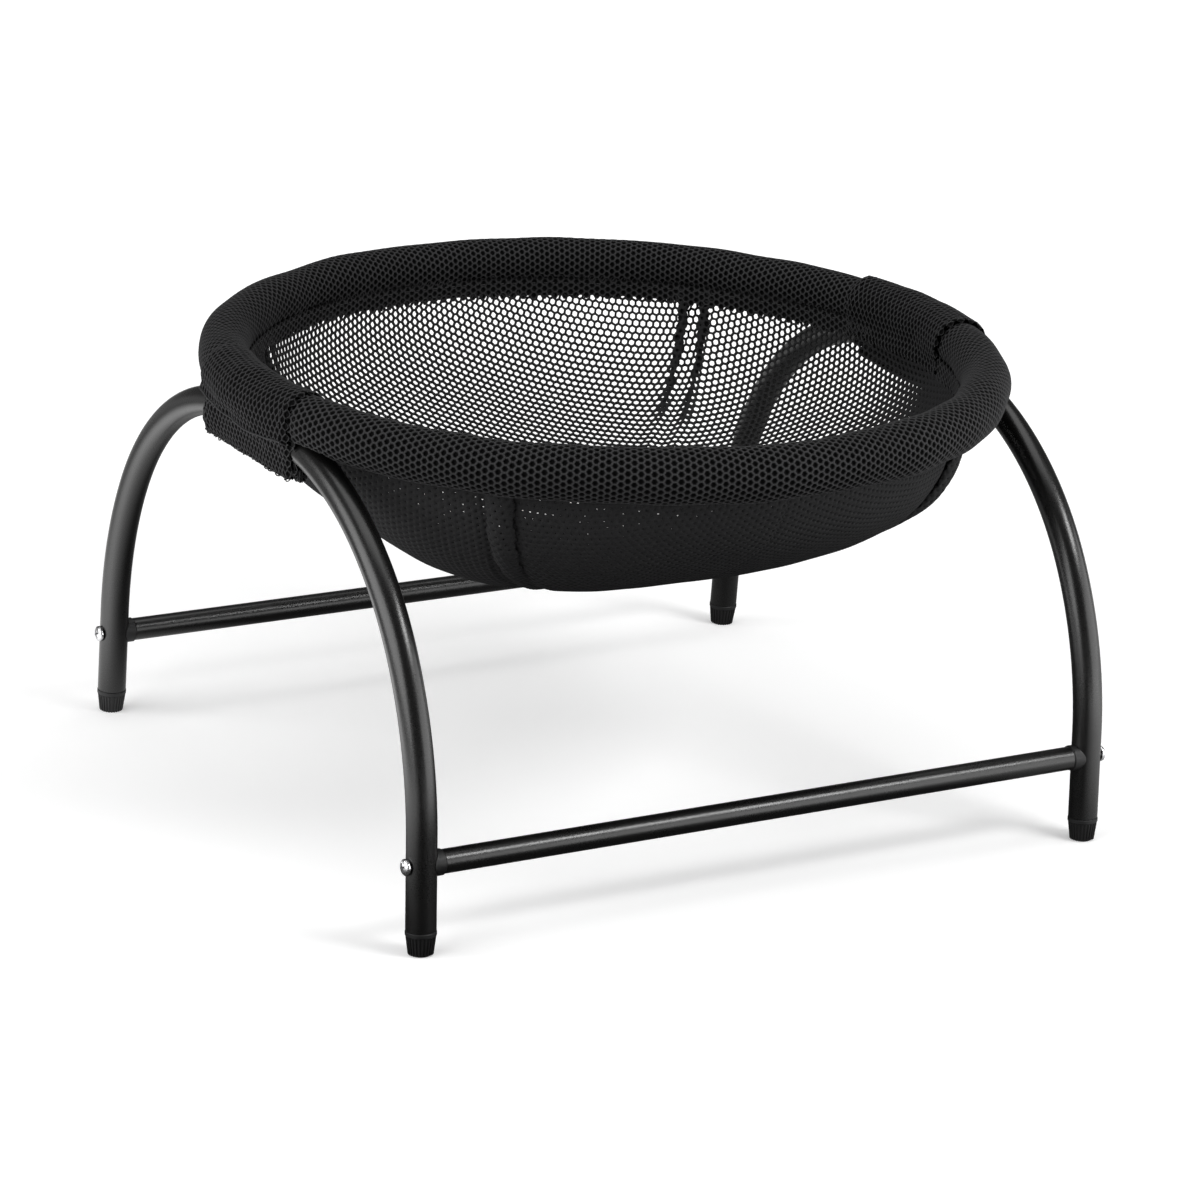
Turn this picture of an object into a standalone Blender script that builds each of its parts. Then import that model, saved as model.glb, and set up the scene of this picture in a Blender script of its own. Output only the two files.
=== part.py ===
"""Elevated pet bed: a net bowl hung in a padded round rim, carried by two bent tube arches.

Metres, +Z up. X runs along the crossbars, the rear is +Y, and the origin lies on the floor
under the middle of the bed. Angles round the rim start at +X and turn towards +Y.
"""

import math

import bmesh
import bpy
from mathutils import Vector

# Clearance between pieces that touch, and how far a cutter runs past what it cuts
GAP = 0.0003
OVERRUN = 0.002

# Frame tubes
TUBE_D = 0.016
TUBE_WALL = 0.0012
TUBE_SIDES = 12
ARCH_SPACING = 0.406
FOOT_SPACING = 0.3854
LEG_LEAN = 3.1
LEG_STRAIGHT_H = 0.0605
SHOULDER_R = 0.190
SHOULDER_END = 30.4
SHOULDER_STEPS = 4
CROWN_R = 0.158
CROWN_STEPS = 9

# Crossbars and their joints
BAR_D = 0.0127
BAR_WALL = 0.0010
BAR_SIDES = 16
BAR_H = 0.0475
SADDLE_D = 0.0134
SADDLE_NECK = 0.0035
SADDLE_WRAP = 0.0035
SADDLE_PLUG = 0.0060
INSERT_LENGTH = 0.0120
INSERT_SIDES = 12
SCREW_D = 0.0050
SCREW_PAST_INSERT = 0.0020
SCREW_TIP = 0.0008
SCREW_HEAD_D = 0.0088
SCREW_HEAD_H = 0.0030
SCREW_RIM_H = 0.0009
SCREW_SIDES = 16
RECESS_WIDTH = 0.0011
RECESS_LENGTH = 0.0048
RECESS_DEPTH = 0.0014
HOLE_ROOM = 0.0004

# Foot caps
FOOT_COLLAR_D = 0.0164
FOOT_COLLAR_H = 0.0024
FOOT_TAPER_H = 0.0104
FOOT_TOE_D = 0.0124
FOOT_LIP = 0.0003
FOOT_PLUG_LENGTH = 0.0120
FLUTES = 12
FLUTE_DEPTH = 0.0005

# Hoop and rim roll
HOOP_D = 0.012
HOOP_WALL = 0.0012
HOOP_SIDES = 10
HOOP_OUTSET = 0.0036
HOOP_SEAT = 0.0040
RIM_WIDTH = 0.0270
RIM_HEIGHT = 0.0294
RIM_DROP = 0.0042
COVER_T = 0.0012
COVER_DENT = 0.0020
FOAM_BORE_ROOM = 0.0006
SEAM_LOW = -140.0
COVER_TURN = -30.0
SEAM_HIGH = 207.0
COVER_LOW_STEPS = 8
COVER_HIGH_STEPS = 8
FOAM_FIRST = 8
QUARTER = 90.0
HALF_QUARTER = 45.0

# Net bowl
NET_T = 0.0010
NET_SEAM_INSET = 0.0111
NET_DEPTH = 0.1030
NET_BASE_POWER = 1.9
NET_SIDE_POWER = 2.1
NET_BULGE_SHARE = 0.07
NET_ROW_SHARES = (0.0, 0.04, 0.11, 0.23, 0.38, 0.53, 0.69, 0.86, 0.965)
NET_SEAM_DROP = 0.0048
NET_RIB_WIDTH = 0.013
NET_RIB_STATIONS = (0, 3, 5, 7)
ANGLE_ROOM = 0.01
NET_RINGS = ((2, 4, 1), (4, 6, 1), (6, 7, 1), (7, 8, 2))
PLEAT_WIDTH = 0.016
PLEAT_DEPTH = 0.0021
PLEAT_COLUMN_SHARES = (0.28, 0.46, 0.61, 0.78)
PLEAT_RISE_SHARES = (1.0, 0.8, -1.1, 0.0)
PLEAT_START_SHARE = 0.04
PLEAT_FULL_SHARE = 0.11
PLEAT_END_SHARE = 0.8

# Sleeves that hold the rim down on the arches
SLEEVE_LENGTH = 0.1035
SLEEVE_T = 0.0012
SLEEVE_SLACK = 0.0005
SLEEVE_INNER_DROP = 0.0090
TAB_DROP = 0.0194
TAB_OUTSET = 0.0010
TAPE_T = 0.0008
TAPE_H = 0.0066
TAPE_LENGTH = 0.0900
TAPE_EDGE = 0.0008
SLEEVE_TURNS = (195.0, 170.0, 145.0, 120.0, 95.0, 70.0, 45.0, 20.0, 5.0, -10.0, -25.0, -45.0, -65.0)
FLAP_TURNS = (165.0, 190.0, 215.0, 240.0)

PART_NAME = "elevated_pet_bed"
CUTTER_NAME = "elevated_pet_bed_cutters"

SIDES = (("left", -1), ("right", 1))
ENDS = (("front", -1), ("rear", 1))


FOOT_H = FOOT_COLLAR_H + FOOT_TAPER_H


def leg_offset(height):
    """Half the spacing of the front and rear legs, at a height of their straight part."""
    return FOOT_SPACING / 2 - math.tan(math.radians(LEG_LEAN)) * height


def arch_half():
    """Centreline of an arch from its rear foot to its top, as (half spacing, height)."""
    lean = math.radians(LEG_LEAN)
    turn = math.radians(SHOULDER_END)
    start_h = FOOT_H + GAP
    y, z = leg_offset(LEG_STRAIGHT_H), LEG_STRAIGHT_H
    points = [(leg_offset(start_h), start_h), (y, z)]
    shoulder = (lean, turn, SHOULDER_R, SHOULDER_STEPS)
    crown = (turn, math.radians(QUARTER), CROWN_R, CROWN_STEPS)
    for start, end, radius, steps in (shoulder, crown):
        for step in range(1, steps + 1):
            angle = start + (end - start) * step / steps
            across = radius * (math.cos(start) - math.cos(angle))
            rise = radius * (math.sin(angle) - math.sin(start))
            points.append((y - across, z + rise))
        y, z = points[-1]
    return points


ARCH_HALF = arch_half()
ARCH_FLAT, ARCH_TOP = ARCH_HALF[-1]
ARCH_X = ARCH_SPACING / 2
TUBE_R = TUBE_D / 2

HOOP_R = ARCH_X + HOOP_OUTSET
HOOP_Z = ARCH_TOP + TUBE_R + HOOP_SEAT + HOOP_D / 2
RIM_Z = HOOP_Z - RIM_DROP
DENT_R = TUBE_R + COVER_DENT
NET_SEAM_R = HOOP_R - NET_SEAM_INSET

SLEEVE_ANGLE = math.degrees(SLEEVE_LENGTH / 2 / HOOP_R)
PLEAT_ANGLES = tuple(HALF_QUARTER + QUARTER * turn for turn in range(4))
SEAM_Z = RIM_Z + (RIM_HEIGHT / 2) * math.sin(math.radians(SEAM_HIGH)) - COVER_T / 2

BAR_END = ARCH_X - TUBE_R - SADDLE_NECK
TAB_X = ARCH_X + TAB_OUTSET
TAB_HALF_GAP = TAPE_T + 1.5 * GAP


def arch_height(y):
    """Height of an arch's centreline over a place on its crown."""
    run = min(max(abs(y) - ARCH_FLAT, 0), CROWN_R)
    return ARCH_TOP - CROWN_R + math.sqrt(CROWN_R**2 - run**2)


def ring_stations():
    """Angles of the stations that the hoop, the foam, the cover and the net share."""
    first = [0, SLEEVE_ANGLE / 2, SLEEVE_ANGLE]
    step = (HALF_QUARTER - SLEEVE_ANGLE) / 3
    first += [SLEEVE_ANGLE + step * turn for turn in (1, 2)]
    quarter = first + [HALF_QUARTER + HALF_QUARTER * turn / 4 for turn in range(4)]
    half = quarter + [2 * QUARTER - angle for angle in [QUARTER] + quarter[:0:-1]]
    return half + [2 * QUARTER + angle for angle in half]


STATIONS = ring_stations()


def facet(angle):
    """Share of a ring's radius that a point between two stations keeps on the straight between."""
    turn = angle % (4 * QUARTER)
    marks = STATIONS + [4 * QUARTER]
    for low, high in zip(marks, marks[1:]):
        if low <= turn <= high:
            middle = math.radians(turn - (low + high) / 2)
            return math.cos(math.radians((high - low) / 2)) / math.cos(middle)
    return 1.0


def around(angle, radius, height):
    """The point at one angle round the bed's centre line."""
    turn = math.radians(angle)
    return Vector((radius * math.cos(turn), radius * math.sin(turn), height))


def lifted(angle, radius, height, room):
    """A height, raised where that is needed to stay clear of the arch below by some room."""
    spot = around(angle, radius, height)
    aside = abs(spot.x) - ARCH_X
    if abs(aside) >= room:
        return height
    return max(height, arch_height(spot.y) + math.sqrt(room**2 - aside**2))


def rim_point(angle, turn, inset, room):
    """A point on the rim roll's section: turn 0 faces outwards and 90 faces up."""
    way = math.radians(turn)
    radius = (HOOP_R + (RIM_WIDTH / 2 - inset) * math.cos(way)) * facet(angle)
    height = RIM_Z + (RIM_HEIGHT / 2 - inset) * math.sin(way)
    return around(angle, radius, lifted(angle, radius, height, room))


def cover_turns():
    """Turns of the rim section from the lower lip of its seam round to the upper lip."""
    low = [
        SEAM_LOW + (COVER_TURN - SEAM_LOW) * step / COVER_LOW_STEPS
        for step in range(COVER_LOW_STEPS)
    ]
    high = [
        COVER_TURN + (SEAM_HIGH - COVER_TURN) * step / COVER_HIGH_STEPS
        for step in range(COVER_HIGH_STEPS + 1)
    ]
    return low + high


def pleat_rise(angle, depth_share):
    """How far a box pleat stands out of the net bowl, or sinks in at its two fold lines."""
    ramp = (depth_share - PLEAT_START_SHARE) / (PLEAT_FULL_SHARE - PLEAT_START_SHARE)
    grow = min(1, max(0, ramp))
    fade = max(0, 1 - depth_share / PLEAT_END_SHARE)
    off = min(abs((angle - pleat + 2 * QUARTER) % (4 * QUARTER) - 2 * QUARTER)
              for pleat in PLEAT_ANGLES)
    across = math.radians(off) * NET_SEAM_R / PLEAT_WIDTH
    places = (0.0,) + PLEAT_COLUMN_SHARES
    rises = PLEAT_RISE_SHARES[:1] + PLEAT_RISE_SHARES
    for near, far, low, high in zip(places, places[1:], rises, rises[1:]):
        if near <= across <= far:
            rise = low + (high - low) * (across - near) / (far - near)
            return PLEAT_DEPTH * rise * grow * fade
    return 0.0


def net_radius(angle, depth_share):
    """Distance of the net from the centre line at one angle and one share of its depth."""
    share = (1 - depth_share**NET_SIDE_POWER) ** (1 / NET_BASE_POWER)
    lobe = math.cos(4 * math.radians(angle - HALF_QUARTER))
    bulge = 1 + NET_BULGE_SHARE * 4 * share * (1 - share) * lobe
    radius = NET_SEAM_R * share * bulge * facet(angle) + pleat_rise(angle, depth_share)
    seam_room = ARCH_X - NET_SEAM_R
    full_room = TUBE_R + SLEEVE_SLACK + 2 * GAP + SLEEVE_T + NET_T
    ramp = min(1, depth_share * NET_DEPTH / NET_SEAM_DROP)
    room = seam_room + (full_room - seam_room) * ramp
    side = abs(math.cos(math.radians(angle)))
    if side * radius > ARCH_X - room:
        radius = (ARCH_X - room) / side
    return radius


def new_collection(name):
    """A collection that hangs on the scene."""
    made = bpy.data.collections.new(name)
    bpy.context.scene.collection.children.link(made)
    return made


def new_material(name, colour, roughness, metallic=0.0):
    """A Principled BSDF in one colour."""
    made = bpy.data.materials.new(name)
    made.use_nodes = True
    shader = made.node_tree.nodes["Principled BSDF"]
    shader.inputs["Base Color"].default_value = (*colour, 1)
    shader.inputs["Roughness"].default_value = roughness
    shader.inputs["Metallic"].default_value = metallic
    made.diffuse_color = (*colour, 1)
    return made


def add_object(name, data, collection, material=None):
    """An object in its collection, with its material."""
    made = bpy.data.objects.new(name, data)
    collection.objects.link(made)
    if material:
        data.materials.append(material)
    return made


def baked(item):
    """The item with its modifiers turned into its mesh."""
    bpy.context.view_layer.update()
    graph = bpy.context.evaluated_depsgraph_get()
    mesh = bpy.data.meshes.new_from_object(item.evaluated_get(graph))
    item.modifiers.clear()
    item.data = mesh
    return item


def smooth(item, angle=35.0):
    """Smooth shading with sharp edges kept."""
    item.data.shade_smooth()
    item.data.set_sharp_from_angle(angle=math.radians(angle))


def tube_mesh(name, points, radius, sides, caps):
    """The mesh of a round bar along some points, closed at its ends or left open."""
    curve = bpy.data.curves.new(name, "CURVE")
    curve.dimensions = "3D"
    curve.twist_mode = "MINIMUM"
    curve.bevel_depth = radius
    curve.bevel_resolution = (sides - 4) // 2
    curve.use_fill_caps = caps
    spline = curve.splines.new("POLY")
    spline.points.add(len(points) - 1)
    for point, place in zip(spline.points, points):
        point.co = (*place, 1)
    guide = bpy.data.objects.new(name, curve)
    bpy.context.scene.collection.objects.link(guide)
    bpy.context.view_layer.update()
    graph = bpy.context.evaluated_depsgraph_get()
    mesh = bpy.data.meshes.new_from_object(guide.evaluated_get(graph))
    bpy.data.objects.remove(guide)
    shape = bmesh.new()
    shape.from_mesh(mesh)
    bmesh.ops.remove_doubles(shape, verts=shape.verts, dist=GAP / 10)
    shape.to_mesh(mesh)
    shape.free()
    return mesh


def hollow_tube(name, points, outer_d, wall, sides, material):
    """A bent or straight tube, open at both ends."""
    mesh = tube_mesh(name, points, outer_d / 2, sides, False)
    made = add_object(name, mesh, PARTS, material)
    shell = made.modifiers.new("wall", "SOLIDIFY")
    shell.thickness = wall
    shell.offset = -1
    shell.use_even_offset = True
    smooth(made)
    return made


def turned(name, profile, sides, closed, material):
    """A turned piece about local Z, from a profile that runs down its outer side."""
    mesh = bpy.data.meshes.new(name)
    edges = [(turn, turn + 1) for turn in range(len(profile) - 1)]
    if closed:
        edges.append((len(profile) - 1, 0))
    mesh.from_pydata([(radius, 0, height) for radius, height in profile], edges, [])
    made = add_object(name, mesh, PARTS, material)
    screw = made.modifiers.new("turn", "SCREW")
    screw.axis = "Z"
    screw.steps = sides
    screw.render_steps = sides
    screw.use_merge_vertices = True
    screw.merge_threshold = GAP / 10
    baked(made)
    return made


def cylinder_cutter(name, radius, length, centre, axis, sides=16):
    """A round cutter about an axis through a point."""
    shape = bmesh.new()
    bmesh.ops.create_cone(
        shape, cap_ends=True, segments=sides, radius1=radius, radius2=radius, depth=length
    )
    mesh = bpy.data.meshes.new(name)
    shape.to_mesh(mesh)
    shape.free()
    made = add_object(name, mesh, CUTTERS)
    made.location = centre
    made.rotation_mode = "QUATERNION"
    made.rotation_quaternion = Vector((0, 0, 1)).rotation_difference(Vector(axis))
    made.hide_render = True
    made.display_type = "WIRE"
    return made


def cut(target, cutter):
    """Takes a cutter's shape out of a piece."""
    modifier = target.modifiers.new("cut", "BOOLEAN")
    modifier.operation = "DIFFERENCE"
    modifier.solver = "EXACT"
    modifier.object = cutter


def loft(name, loops, material, ring):
    """A closed solid through loops that hold an outer side and then the inner side reversed."""
    shape = bmesh.new()
    rows = [[shape.verts.new(point) for point in loop] for loop in loops]
    count = len(rows[0])
    pairs = list(zip(rows, rows[1:]))
    if ring:
        pairs.append((rows[-1], rows[0]))
    for here, there in pairs:
        for turn in range(count):
            after = (turn + 1) % count
            shape.faces.new((here[turn], here[after], there[after], there[turn]))
    if not ring:
        for row in (rows[0], rows[-1]):
            for turn in range(count // 2 - 1):
                back = count - 1 - turn
                shape.faces.new((row[turn], row[turn + 1], row[back - 1], row[back]))
    bmesh.ops.recalc_face_normals(shape, faces=shape.faces)
    mesh = bpy.data.meshes.new(name)
    shape.to_mesh(mesh)
    shape.free()
    made = add_object(name, mesh, PARTS, material)
    smooth(made, QUARTER / 2)
    return made


def leg_axis(end):
    """The upward direction of a front (-1) or rear (1) leg."""
    lean = math.radians(LEG_LEAN)
    return Vector((0, -end * math.sin(lean), math.cos(lean)))


def bar_place(side, end):
    """Where a crossbar's axis crosses a leg's axis."""
    return Vector((side * ARCH_X, end * leg_offset(BAR_H), BAR_H))


def build_arches():
    """The two bent legs, each one tube from foot to foot, drilled for the crossbar screws."""
    path = ARCH_HALF + [(-y, z) for y, z in reversed(ARCH_HALF)]
    for side_name, side in SIDES:
        points = [(side * ARCH_X, y, z) for y, z in path]
        arch = hollow_tube(f"{side_name}_arch", points, TUBE_D, TUBE_WALL, TUBE_SIDES, COAT)
        for end_name, end in ENDS:
            drill = cylinder_cutter(
                f"drill_{end_name}_{side_name}",
                SCREW_D / 2 + HOLE_ROOM,
                TUBE_D + 2 * OVERRUN,
                bar_place(side, end),
                (1, 0, 0),
            )
            cut(arch, drill)


def build_crossbars():
    """The front and rear bars between the arches."""
    for end_name, end in ENDS:
        y = end * leg_offset(BAR_H)
        points = [(-BAR_END, y, BAR_H), (BAR_END, y, BAR_H)]
        hollow_tube(f"{end_name}_crossbar", points, BAR_D, BAR_WALL, BAR_SIDES, COAT)


def build_bar_joint(side_name, side, end_name, end):
    """The saddle, the threaded insert and the screw that hold a bar's end to a leg."""
    bore_r = (BAR_D / 2 - BAR_WALL) * math.cos(math.pi / BAR_SIDES)
    hole_r = SCREW_D / 2 + HOLE_ROOM
    plug_r = bore_r - GAP
    face = SADDLE_NECK + SADDLE_WRAP
    outward = (0, side * math.radians(QUARTER), 0)
    bar_end = bar_place(side, end)
    bar_end.x = side * BAR_END

    profile = (
        (SADDLE_D / 2, face), (SADDLE_D / 2, GAP), (plug_r, GAP),
        (plug_r, -SADDLE_PLUG), (hole_r, -SADDLE_PLUG), (hole_r, face),
    )
    saddle = turned(f"saddle_{end_name}_{side_name}", profile, BAR_SIDES, True, PLASTIC)
    saddle.location = bar_end
    saddle.rotation_euler = outward
    leg = cylinder_cutter(
        f"leg_{end_name}_{side_name}",
        TUBE_R + GAP,
        2 * SADDLE_D + 2 * OVERRUN,
        bar_place(side, end),
        leg_axis(end),
        2 * TUBE_SIDES,
    )
    cut(saddle, leg)
    smooth(saddle)

    top = -SADDLE_PLUG - GAP
    profile = ((plug_r, top), (plug_r, top - INSERT_LENGTH), (hole_r, top - INSERT_LENGTH), (hole_r, top))
    insert = turned(f"bar_insert_{end_name}_{side_name}", profile, INSERT_SIDES, True, STEEL)
    insert.location = bar_end
    insert.rotation_euler = outward
    smooth(insert)

    seat = SADDLE_NECK + TUBE_D + GAP
    tip = top - INSERT_LENGTH - SCREW_PAST_INSERT
    profile = (
        (0, seat + SCREW_HEAD_H),
        (SCREW_HEAD_D / 4, seat + SCREW_HEAD_H - SCREW_RIM_H / 3),
        (SCREW_HEAD_D / 2 - SCREW_RIM_H / 3, seat + 2 * SCREW_RIM_H),
        (SCREW_HEAD_D / 2, seat + SCREW_RIM_H),
        (SCREW_HEAD_D / 2, seat),
        (SCREW_D / 2, seat),
        (SCREW_D / 2, tip + SCREW_TIP),
        (SCREW_D / 2 - SCREW_TIP, tip),
        (0, tip),
    )
    screw = turned(f"screw_{end_name}_{side_name}", profile, SCREW_SIDES, False, STEEL)
    screw.location = bar_end
    screw.rotation_euler = outward
    for turn, (tall, wide) in enumerate(((RECESS_WIDTH, RECESS_LENGTH), (RECESS_LENGTH, RECESS_WIDTH))):
        shape = bmesh.new()
        bmesh.ops.create_cube(shape, size=1)
        deep = RECESS_DEPTH + OVERRUN
        bmesh.ops.scale(shape, vec=(tall, wide, deep), verts=shape.verts)
        mesh = bpy.data.meshes.new(f"recess_{end_name}_{side_name}_{turn}")
        shape.to_mesh(mesh)
        shape.free()
        slot = add_object(mesh.name, mesh, CUTTERS)
        slot.rotation_euler = outward
        middle = seat + SCREW_HEAD_H - RECESS_DEPTH + deep / 2
        slot.location = bar_end + Vector((side * middle, 0, 0))
        slot.hide_render = True
        slot.display_type = "WIRE"
        cut(screw, slot)
    smooth(screw)


def build_foot(side_name, side, end_name, end):
    """A fluted plastic cap, plugged into a leg and flat on the floor."""
    plug_r = (TUBE_R - TUBE_WALL) * math.cos(math.pi / TUBE_SIDES) - GAP
    collar_r = FOOT_COLLAR_D / 2
    profile = (
        (0, FOOT_H + FOOT_PLUG_LENGTH), (plug_r, FOOT_H + FOOT_PLUG_LENGTH), (plug_r, FOOT_H),
        (collar_r, FOOT_H), (collar_r, FOOT_TAPER_H),
        (collar_r - FOOT_LIP, FOOT_TAPER_H), (FOOT_TOE_D / 2, 0), (0, 0),
    )
    foot = turned(f"foot_{end_name}_{side_name}", profile, 2 * FLUTES, False, PLASTIC)
    tilt = end * math.radians(LEG_LEAN)
    step = math.pi / FLUTES
    for vert in foot.data.vertices:
        spot = vert.co
        radius = math.hypot(spot.x, spot.y)
        low = spot.z <= FOOT_TAPER_H + GAP / 10 and radius > GAP
        groove = round(math.atan2(spot.y, spot.x) / step) % 2
        if low and radius < collar_r - FOOT_LIP / 2 and groove:
            spot.x *= 1 - FLUTE_DEPTH / radius
            spot.y *= 1 - FLUTE_DEPTH / radius
        if spot.z < GAP / 10:
            spot.z = -spot.y * math.tan(tilt)
    foot.rotation_euler = (tilt, 0, 0)
    foot.location = (side * ARCH_X, end * FOOT_SPACING / 2, 0)
    smooth(foot)


def half_ring(first, end_room):
    """Angles of half the ring from one joint to the next, a little short at both ends."""
    short = math.degrees(end_room / HOOP_R)
    inner = [
        angle + turn
        for turn in (0, 4 * QUARTER)
        for angle in STATIONS
        if first < angle + turn < first + 2 * QUARTER
    ]
    return [first + short] + inner + [first + 2 * QUARTER - short]


def build_hoop():
    """The two half hoops inside the rim and the curved joiners in their ends."""
    end_room = GAP + HOOP_D / 2 * math.tan(math.radians(HALF_QUARTER / 8))
    for name, first in (("left", QUARTER), ("right", 3 * QUARTER)):
        angles = half_ring(first, end_room)
        points = [around(angle, HOOP_R * facet(angle), HOOP_Z) for angle in angles]
        hollow_tube(f"hoop_{name}_half", points, HOOP_D, HOOP_WALL, HOOP_SIDES, COAT)
    joiner_r = (HOOP_D / 2 - HOOP_WALL) * math.cos(math.pi / HOOP_SIDES) - GAP
    reach = HALF_QUARTER / 4
    for name, middle in (("rear", QUARTER), ("front", 3 * QUARTER)):
        points = [around(middle + turn, HOOP_R, HOOP_Z) for turn in (-reach, 0, reach)]
        mesh = tube_mesh(f"hoop_joiner_{name}", points, joiner_r, HOOP_SIDES, True)
        smooth(add_object(f"hoop_joiner_{name}", mesh, PARTS, STEEL))


def build_foam():
    """The two foam pads that are pressed over the half hoops, open underneath."""
    inset = COVER_T + GAP
    turns = cover_turns()[FOAM_FIRST:-1]
    bore_r = HOOP_D / 2 + FOAM_BORE_ROOM
    for name, first in (("left", QUARTER), ("right", 3 * QUARTER)):
        loops = []
        for angle in half_ring(first, GAP):
            outer = [rim_point(angle, turn, inset, DENT_R + inset) for turn in turns]
            inner = []
            for turn in turns:
                way = math.radians(turn)
                radius = (HOOP_R + bore_r * math.cos(way)) * facet(angle)
                inner.append(around(angle, radius, HOOP_Z + bore_r * math.sin(way)))
            loops.append(outer + inner[::-1])
        loft(f"rim_foam_{name}", loops, FOAM, False)


def build_cover():
    """The mesh cover round the foam, with its seam open underneath for the net."""
    turns = cover_turns()
    loops = []
    for angle in STATIONS:
        outer = [rim_point(angle, turn, 0, DENT_R) for turn in turns]
        inner = [rim_point(angle, turn, COVER_T, DENT_R + COVER_T) for turn in turns]
        loops.append(outer + inner[::-1])
    loft("rim_cover", loops, MESH_CLOTH, True)


def net_columns():
    """Angles of the net's columns: the ring's stations and the folds of the four pleats."""
    angles = set(STATIONS)
    for pleat in PLEAT_ANGLES:
        for share in PLEAT_COLUMN_SHARES:
            off = math.degrees(share * PLEAT_WIDTH / NET_SEAM_R)
            angles.update((pleat - off, pleat + off))
    return sorted(angles)


def net_ribs():
    """Angles of the ribs that stay between the net's openings."""
    first = [STATIONS[turn] for turn in NET_RIB_STATIONS]
    half = first + [2 * QUARTER - angle for angle in [QUARTER] + first[:0:-1]]
    return half + [2 * QUARTER + angle for angle in half] + [4 * QUARTER]


def open_net(shape, faces, columns):
    """Cuts a plain grid of openings in the net, clear of its seam and its pleats."""
    ribs = net_ribs()
    ends = columns[1:] + [4 * QUARTER]
    pleat_half = math.degrees(PLEAT_COLUMN_SHARES[-1] * PLEAT_WIDTH / NET_SEAM_R)
    for upper, lower, step in NET_RINGS:
        for low, high in zip(ribs[:-1:step], ribs[step::step]):
            start = low + pleat_half * (low in PLEAT_ANGLES)
            stop = high - pleat_half * (high in PLEAT_ANGLES)
            inside = [
                turn for turn, angle in enumerate(columns)
                if start <= angle + ANGLE_ROOM and ends[turn] <= stop + ANGLE_ROOM
            ]
            region = [faces[row, turn] for row in range(upper, lower) for turn in inside]
            bmesh.ops.inset_region(
                shape, faces=region, thickness=NET_RIB_WIDTH / 2, use_boundary=True,
                use_even_offset=True,
            )
            bmesh.ops.delete(shape, geom=region, context="FACES")


def build_net():
    """The net bowl, one sheet hung from the rim's seam with a box pleat in each quarter."""
    columns = net_columns()
    shape = bmesh.new()
    rows = []
    for share in NET_ROW_SHARES:
        height = SEAM_Z - share * NET_DEPTH
        rows.append([
            shape.verts.new(around(angle, net_radius(angle, share), height))
            for angle in columns
        ])
    middle = shape.verts.new((0, 0, SEAM_Z - NET_DEPTH))
    count = len(columns)
    faces = {}
    for turn in range(count):
        after = (turn + 1) % count
        for row, (upper, lower) in enumerate(zip(rows, rows[1:])):
            corners = (upper[turn], lower[turn], lower[after], upper[after])
            faces[row, turn] = shape.faces.new(corners)
        shape.faces.new((rows[-1][turn], middle, rows[-1][after]))
    open_net(shape, faces, columns)
    mesh = bpy.data.meshes.new("net_bowl")
    shape.to_mesh(mesh)
    shape.free()
    bowl = add_object("net_bowl", mesh, PARTS, NET_CLOTH)
    sheet = bowl.modifiers.new("cloth", "SOLIDIFY")
    sheet.thickness = NET_T
    sheet.offset = 0
    smooth(bowl)


def sleeve_stations():
    """Angles of the sleeve's stations, the same as the ring's there."""
    return [SLEEVE_ANGLE * turn / 2 for turn in (-2, -1, 0, 1, 2)]


def wrap_point(angle, turn, room):
    """A point of the taut line round the rim roll and the arch, facing one way."""
    way = math.radians(turn)
    across, up = math.cos(way), math.sin(way)
    wide, high = RIM_WIDTH / 2 + room, RIM_HEIGHT / 2 + room
    norm = math.hypot(wide * across, high * up)
    rim = (HOOP_R + wide**2 * across / norm, RIM_Z + high**2 * up / norm)
    slant = 1 / math.cos(math.radians(angle))
    y = ARCH_X * math.tan(math.radians(angle))
    tube_r = TUBE_R + room
    tube = (ARCH_X * slant + tube_r * across * slant, arch_height(y) + tube_r * up)
    rim_reach = rim[0] * across + rim[1] * up
    tube_reach = tube[0] * across + tube[1] * up
    return tube if turn < 0 and tube_reach > rim_reach else rim


def thickened(path, thickness):
    """The loop round a path of (radius, height) points: one side, then the other reversed."""
    near, far = [], []
    for turn, (radius, height) in enumerate(path):
        before = path[max(turn - 1, 0)]
        after = path[min(turn + 1, len(path) - 1)]
        run, rise = after[0] - before[0], after[1] - before[1]
        size = math.hypot(run, rise)
        shift = Vector((-rise / size, run / size)) * (thickness / 2)
        near.append((radius + shift.x, height + shift.y))
        far.append((radius - shift.x, height - shift.y))
    return near + far[::-1]


def tab_top(angle):
    """Height at which the tab's two layers come together under the arch."""
    return arch_height(ARCH_X * math.tan(math.radians(angle))) - TUBE_R - SLEEVE_SLACK - SLEEVE_T


def side_loop(angle, side, loop):
    """A loop of (radius, height) points in space, on the left or right of the bed."""
    made = []
    for radius, height in loop:
        spot = around(angle, radius, height)
        spot.x *= side
        made.append(spot)
    return made


def build_sleeve(side_name, side):
    """The band over the rim that comes down outside the arch and ends in a tab below it."""
    room = SLEEVE_SLACK + GAP + SLEEVE_T / 2
    tab_x = TAB_X + TAB_HALF_GAP + SLEEVE_T / 2
    loops = []
    for angle in sleeve_stations():
        slant = 1 / math.cos(math.radians(angle))
        path = []
        for depth_share in (SLEEVE_INNER_DROP / NET_DEPTH, NET_ROW_SHARES[1]):
            radius = net_radius(angle, depth_share) - NET_T / 2 - room
            path.append((radius, SEAM_Z - depth_share * NET_DEPTH))
        path += [wrap_point(angle, turn, room) for turn in SLEEVE_TURNS]
        path.append((tab_x * slant, tab_top(angle)))
        path.append((tab_x * slant, ARCH_TOP - TAB_DROP))
        loops.append(side_loop(angle, side, thickened(path, SLEEVE_T)))
    loft(f"{side_name}_sleeve", loops, MESH_CLOTH, False)


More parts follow.
